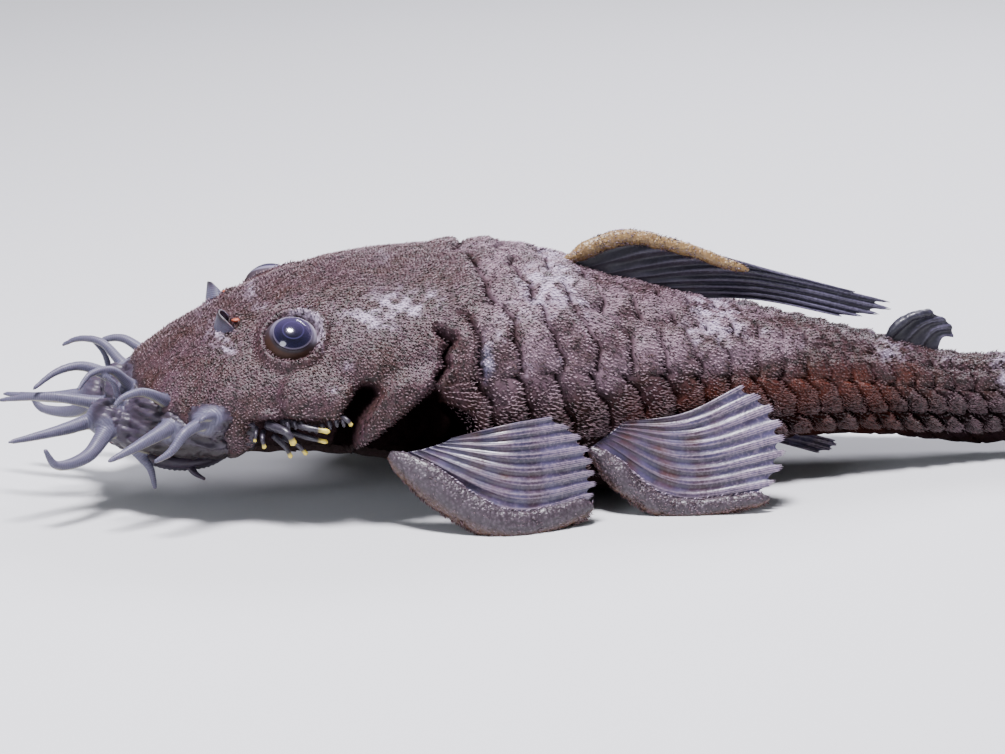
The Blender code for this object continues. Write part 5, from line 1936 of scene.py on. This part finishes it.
@dataclass
class SpineCoat:
    """Prickles all round a fin's spine, longest on its leading edge.

    Shares are of the roots that are kept: sparse everywhere, dense on the leading edge.
    """

    fin: RayedFin
    down: float = 0.55
    dense: float = 1.2
    sparse: float = 0.15
    amber: float = 1.0
    spacing: float = 0.27
    seed: int = 40
    points: int = 90
    width: float = 0.15
    lowest: float = 0.12

    def roots(self) -> Roots:
        """Roots all round the spine, longest and most amber on its leading edge."""
        rng = np.random.default_rng(self.seed)
        line, radii = self.fin.spine_line(self.points)
        area = np.sum(math.pi * (radii[1:] + radii[:-1]) * np.diff(arc_lengths(line)))
        count = int(area / self.spacing ** 2)
        t = (np.arange(count) + rng.uniform(0, 1, count)) / count
        weight = np.cumsum(radii + 0.05)
        at = np.interp(t * weight[-1], weight, np.arange(float(self.points)))
        low = at.astype(int).clip(0, self.points - 2)
        share = (at - low)[:, None]
        centre = line[low] * (1 - share) + line[low + 1] * share
        along = unit(np.gradient(line, axis=0))[low]
        across = unit(np.cross(along, (0.0, 0.0, 1.0)))
        upright = np.cross(across, along)
        turn = rng.uniform(0, 2 * math.pi, count)
        wide, high = np.cos(turn)[:, None], np.sin(turn)
        normal = across * wide + upright * high[:, None]
        deep = self.fin.spine_depth
        reach = (radii[low] / math.sqrt(deep))[:, None]
        place = centre + (across * wide + upright * (deep * high)[:, None]) * reach
        leading = np.clip(-normal[:, 2], 0, 1)
        crest = hump((turn - 0.5 * math.pi) / 0.16)
        length = 0.16 + self.down * 0.5 * leading
        length = length + 0.22 * crest
        zero = np.zeros(count)
        pale = np.maximum(crest, 0.4 * (rng.uniform(0, 1, count) > 0.8) * (1 - leading))
        marks = {
            "bright": zero, "pale": pale,
            "rust": self.amber * np.clip(leading + 0.25 * (self.sparse > 0.5), 0, 1),
            "slate": zero + 0.35, "naked": zero + 0.2, "belly": zero, "hollow": zero,
        }
        roots = Roots(
            place, normal, along, length * rng.uniform(0.8, 1.2, count), zero + self.width,
            np.radians(28 + 8 * rng.normal(size=count)), rng.uniform(0.2, 1.0, count),
            np.column_stack([0.02 + 0.96 * at / self.points, 0.02 + 0.96 * turn / (2 * math.pi)]), marks,
        )
        grown = rng.uniform(0, 1, count) < self.sparse + self.dense * leading + crest
        return roots.keep((place[:, 2] > self.lowest) & grown)


BODY = BodyShape()


def flank_rays(roots: tuple, middles: tuple, tips: tuple, flank: Flank, lift: float) -> Array:
    """Rays of a paired fin.

    Args:
        roots: Station and angle of each ray's root on the skin.
        middles: Middles in pose mm, given for the left side.
        tips: Tips in pose mm, given for the left side.
        flank: The side.
        lift: How far the roots stand off the bare surface.

    Returns:
        An array of rays, each of three points.
    """
    station, angle = np.array(roots).T
    start = posed(BODY.bare(station, -flank.value * angle, lift))
    shift = np.array((-ORIGIN_STATION, 0.0, 0.0))
    ends = [np.array(places) * flank.mirror + shift for places in (middles, tips)]
    return np.stack([start, *ends], axis=1)


def middle_rays(roots: list, middles: list, tips: list, lean: float = 0.0) -> Array:
    """Rays near the middle plane from (station, height) pairs, leaning at their tips."""
    lines = []
    for places, side in ((roots, 0.0), (middles, 0.3 * lean), (tips, lean)):
        table = np.array([(station, side, height) for station, height in places])
        lines.append(posed(table))
    return np.stack(lines, axis=1)


def base_line(first: float, last: float, count: int, measure: Measure, lift: float) -> list:
    """Root places of a fin in the middle plane, off the back or the belly."""
    stations = np.linspace(first, last, count)
    return list(zip(stations, measure.at(stations) + lift))


@dataclass
class PairedFins:
    """Breast and belly fins, spread, their spines on the floor.

    Roots are given by station and angle on the skin, middles and tips by station, side and height.
    """

    breast_roots: tuple = (
        (27.0, 104.0), (28.6, 101.0), (30.0, 98.0), (31.2, 95.0), (32.2, 92.0), (33.0, 89.0),
    )
    breast_middles: tuple = (
        (37.0, 19.6, 1.0), (38.0, 19.2, 3.2), (38.6, 18.8, 5.1), (38.8, 18.2, 7.0), (38.4, 17.6, 8.7),
        (38.0, 17.2, 10.2),
    )
    breast_tips: tuple = (
        (46.0, 17.8, 1.7), (47.0, 17.5, 3.5), (46.8, 17.2, 5.2), (46.4, 16.9, 7.1), (45.2, 16.6, 9.0),
        (42.6, 16.5, 10.6),
    )
    belly_roots: tuple = (
        (46.9, 104.0), (47.8, 100.0), (48.6, 97.0), (49.3, 94.0), (49.9, 91.5), (50.4, 89.0),
    )
    belly_middles: tuple = (
        (54.0, 16.0, 0.8), (55.4, 15.7, 2.7), (56.4, 15.2, 4.4), (57.0, 14.5, 6.2), (57.0, 13.8, 7.8),
        (56.4, 13.2, 9.4),
    )
    belly_tips: tuple = (
        (63.6, 17.0, 1.4), (65.6, 16.1, 3.6), (66.3, 15.3, 5.8), (66.2, 14.4, 8.0), (65.0, 13.2, 10.2),
        (62.4, 12.4, 11.8),
    )

    def fins(self, flank: Flank) -> tuple[RayedFin, RayedFin]:
        """The breast and the belly fin of one side."""
        outward = (0.0, float(flank.value), 0.25)
        breast = flank_rays(self.breast_roots, self.breast_middles, self.breast_tips, flank, 0.4)
        belly = flank_rays(self.belly_roots, self.belly_middles, self.belly_tips, flank, 0.3)
        return (
            RayedFin("breast_fin_" + flank.tag, breast, (1.5, 0.75), spine_depth=1.7, outward=outward),
            RayedFin("belly_fin_" + flank.tag, belly, (1.2, 0.5), spine_depth=1.4, outward=outward),
        )


@dataclass
class MiddleFins:
    """Back fin, small tail spine fin, anal fin and tail fin, by station and height."""

    dorsal_middles: tuple = (
        (54.0, 24.1), (58.5, 22.7), (61.8, 21.5), (64.6, 20.3), (66.0, 19.1), (66.8, 18.3), (67.2, 17.6),
        (67.4, 17.0),
    )
    dorsal_tips: tuple = (
        (65.0, 20.6), (71.0, 19.3), (76.4, 17.8), (80.4, 16.5), (80.6, 15.7), (79.2, 15.2), (77.4, 15.1),
        (75.2, 15.2),
    )
    adipose_middles: tuple = ((82.4, 14.4), (84.0, 13.8), (85.2, 13.1), (86.2, 12.3))
    adipose_tips: tuple = ((85.0, 15.0), (86.4, 14.4), (87.2, 13.5), (87.4, 12.3))
    anal_tips: tuple = ((73.4, 0.7), (74.8, 1.0), (75.4, 1.5), (75.2, 2.0))
    tail_rays: int = 13
    tail_top: tuple = (116.5, 19.0)
    tail_foot: tuple = (123.6, 0.7)
    tail_curl: float = 3.5
    tail_dent: float = 1.6

    def dorsal(self) -> RayedFin:
        """The back fin, folded down behind its arched spine."""
        roots = base_line(46.9, 60.5, len(self.dorsal_tips), Measure.TOP, -0.2)
        rays = middle_rays(roots, self.dorsal_middles, self.dorsal_tips, -0.9)
        return RayedFin(
            "back_fin", rays, (0.85, 0.4), 8, spine_depth=1.3, samples=14, rows=90, pleat=0.16,
            thickness=0.3, outward=(0.0, -1.0, 0.3),
        )

    def adipose(self) -> RayedFin:
        """The small fin on the tail."""
        roots = base_line(80.2, 85.6, len(self.adipose_tips), Measure.TOP, -0.2)
        rays = middle_rays(roots, self.adipose_middles, self.adipose_tips)
        return RayedFin(
            "tail_spine_fin", rays, (0.6, 0.35), 4, samples=10, rows=40, pleat=0.1, thickness=0.4,
            notch=0.02,
        )

    def anal(self) -> RayedFin:
        """The small fin under the tail."""
        roots = base_line(67.0, 70.6, len(self.anal_tips), Measure.BOTTOM, 0.2)
        middles = [(0.5 * (r[0] + t[0]), 0.5 * (r[1] + t[1])) for r, t in zip(roots, self.anal_tips)]
        rays = middle_rays(roots, middles, self.anal_tips)
        return RayedFin("anal_fin_rays", rays, ray_count=4, samples=12, rows=40, pleat=0.1, thickness=0.4)

    def tail(self) -> RayedFin:
        """The tail fin, half spread and a little curled, its lower edge along the floor."""
        start = BODY_LENGTH - 0.6
        end = np.array([BODY_LENGTH])
        top, foot = Measure.TOP.at(end)[0] - 0.5, Measure.BOTTOM.at(end)[0] + 0.5
        rays = []
        for k in range(self.tail_rays):
            share = k / (self.tail_rays - 1)
            root = foot + (top - foot) * share
            dent = self.tail_dent * math.sin(math.pi * share)
            tip = [a + (b - a) * share for a, b in zip(self.tail_foot, self.tail_top)]
            middle = 0.5 * (tip[1] + root) if k else self.tail_foot[1]
            rays.append([
                (start, 0.0, root), (0.5 * (start + tip[0] - dent), 0.3 * self.tail_curl, middle),
                (tip[0] - dent, self.tail_curl, tip[1]),
            ])
        rays = np.array([posed(np.array(ray)) for ray in rays])
        return RayedFin(
            "tail_fin", rays, (0.9, 0.5), 15, samples=14, rows=130, pleat=0.1, notch=0.01,
        )


# The studio


@dataclass(frozen=True)
class SoftBox:
    """A soft lamp: its place and its width and height in mm, its power in watts and its tint."""

    name: str
    place: tuple
    size: tuple
    power: float
    tint: str

    def hang(self, target: tuple) -> None:
        """Hang the lamp so that it looks at a target, given in mm."""
        data = bpy.data.lights.new(self.name, "AREA")
        data.shape = "ELLIPSE"
        data.size, data.size_y = self.size[0] * MM, self.size[1] * MM
        data.energy = self.power
        data.color = linear(self.tint)[:3]
        lamp = place_object(self.name, data)
        lamp.location = Vector(self.place) * MM
        aim = Vector(target) - Vector(self.place)
        lamp.rotation_euler = aim.to_track_quat("-Z", "Y").to_euler()


@dataclass
class Studio:
    """Pale floor, soft lights and the camera at the photograph's angle."""

    target: tuple = (-16.25, 0.0, 10.25)
    distance: float = 400.0
    elevation: float = 15.0
    yaw: float = 10.0
    pixels_per_mm: float = 10.0
    image_width: int = 1005
    sensor: float = 36.0
    floor_half_m: float = 3.0
    sky: str = "#dfe3ea"
    sky_strength: float = 0.26
    lamps: tuple = (
        SoftBox("key_softbox", (-60.0, -60.0, 330.0), (100.0, 70.0), 3.9, "#faf7ff"),
        SoftBox("fill_softbox", (-260.0, -260.0, 160.0), (160.0, 120.0), 0.55, "#eef2ff"),
        SoftBox("rim_softbox", (160.0, 240.0, 220.0), (240.0, 90.0), 1.5, "#f4f2ff"),
    )

    def camera(self) -> None:
        """Set the camera."""
        e, p = math.radians(self.elevation), math.radians(self.yaw)
        back = Vector((-math.sin(p) * math.cos(e), -math.cos(p) * math.cos(e), math.sin(e)))
        data = bpy.data.cameras.new("photo_camera")
        data.sensor_width = self.sensor
        data.lens = self.sensor * self.pixels_per_mm * self.distance / self.image_width
        data.clip_start = 0.01
        camera = place_object("photo_camera", data)
        camera.location = (Vector(self.target) + back * self.distance) * MM
        camera.rotation_euler = (-back).to_track_quat("-Z", "Y").to_euler()
        bpy.context.scene.camera = camera

    def build(self) -> None:
        """Set floor, lights, surroundings and camera."""
        bm = bmesh.new()
        bmesh.ops.create_grid(bm, x_segments=1, y_segments=1, size=self.floor_half_m)
        floor = piece_from("studio_floor", bm, MattFloor().make())
        for lamp in self.lamps:
            lamp.hang(self.target)
        world = bpy.data.worlds.new("studio_surroundings")
        world.use_nodes = True
        background = world.node_tree.nodes["Background"]
        background.inputs["Color"].default_value = linear(self.sky)
        background.inputs["Strength"].default_value = self.sky_strength
        bpy.context.scene.world = world
        self.camera()


def build_fins(fins: Material, dark: Material) -> list[Roots]:
    """Build every fin.

    Args:
        fins: The finish of the paired, anal and tail fins.
        dark: The finish of the back fin and the small fin behind it.

    Returns:
        The roots of the prickles on the fins' spines.
    """
    prickles = []
    sheath = SpineSheath().make()
    golden = SpineSheath(
        name="golden_spine", body="#59412a", light="#8a6f48", edge="#6b5230", dot="#a58c5c",
    ).make()
    for flank in Flank:
        breast, belly = PairedFins().fins(flank)
        breast.build(fins, "fins", "pectoral_fin_" + flank.tag)
        breast.build_spine(sheath, "fins")
        prickles.append(SpineCoat(breast, 0.6).roots())
        belly.build(fins, "fins", "pelvic_fin_" + flank.tag)
        belly.build_spine(sheath, "fins")
        prickles.append(SpineCoat(belly, 0.7, sparse=0.9).roots())
    middle = MiddleFins()
    dorsal = middle.dorsal()
    dorsal.build(dark, "dark_fins", "dorsal_fin")
    dorsal.build_spine(golden, "dark_fins")
    adipose = middle.adipose()
    adipose.build(dark, "dark_fins", "adipose_fin")
    adipose.build_spine(dark, "dark_fins")
    middle.anal().build(fins, "fins", "anal_fin")
    tail = middle.tail()
    tail.build(fins, "fins", "caudal_fin")
    tail.build_spine(sheath, "fins")
    prickles.append(SpineCoat(dorsal, 0.25, sparse=0.5, amber=0.8).roots())
    prickles.append(SpineCoat(tail, 0.3, amber=0.3).roots())
    return prickles


def main() -> None:
    """Build the animal's looks round the fixed frame."""
    logging.basicConfig(level=logging.INFO, format="%(name)s %(message)s")
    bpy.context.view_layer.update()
    Studio().build()
    skin, enamel, naked = LivingSkin().make(), OdontodeCoat().make(), NakedSkin().make()
    fins = FinSkin().make()
    dark = FinSkin(
        name="dark_fin_rays_and_membrane", membrane="#1b1925", stripe="#221d26", ray="#635c76",
        root="#2a2730", haze="#2a2a38", roughness=0.5,
    ).make()
    orange = NakedSkin(name="orange_nostril_lip", lavender="#8e4630", pale="#b87c60").make()
    BodySkin(BODY).build(skin)
    Snout(BODY).build(naked)
    Mouth().build(naked)
    glaze, horn = EyeGlaze().make(), HookHorn().make()
    for flank in Flank:
        Eye(BODY, stands_out=1.4 if flank is Flank.RIGHT else 1.0).build(flank, glaze)
        CheekHooks().build(flank, horn)
        Nostrils(BODY).flap(flank, naked)
        Nostrils(BODY).lip(flank, orange)
    prickles = build_fins(fins, dark)
    coat = Coat(enamel)
    layout = SkinCoat(BODY)
    coat.build("coat", layout.general())
    coat.build("plate_combs", layout.combs())
    coat.build("fin_prickles", Roots.joined(prickles))


if __name__ == "__main__":
    main()
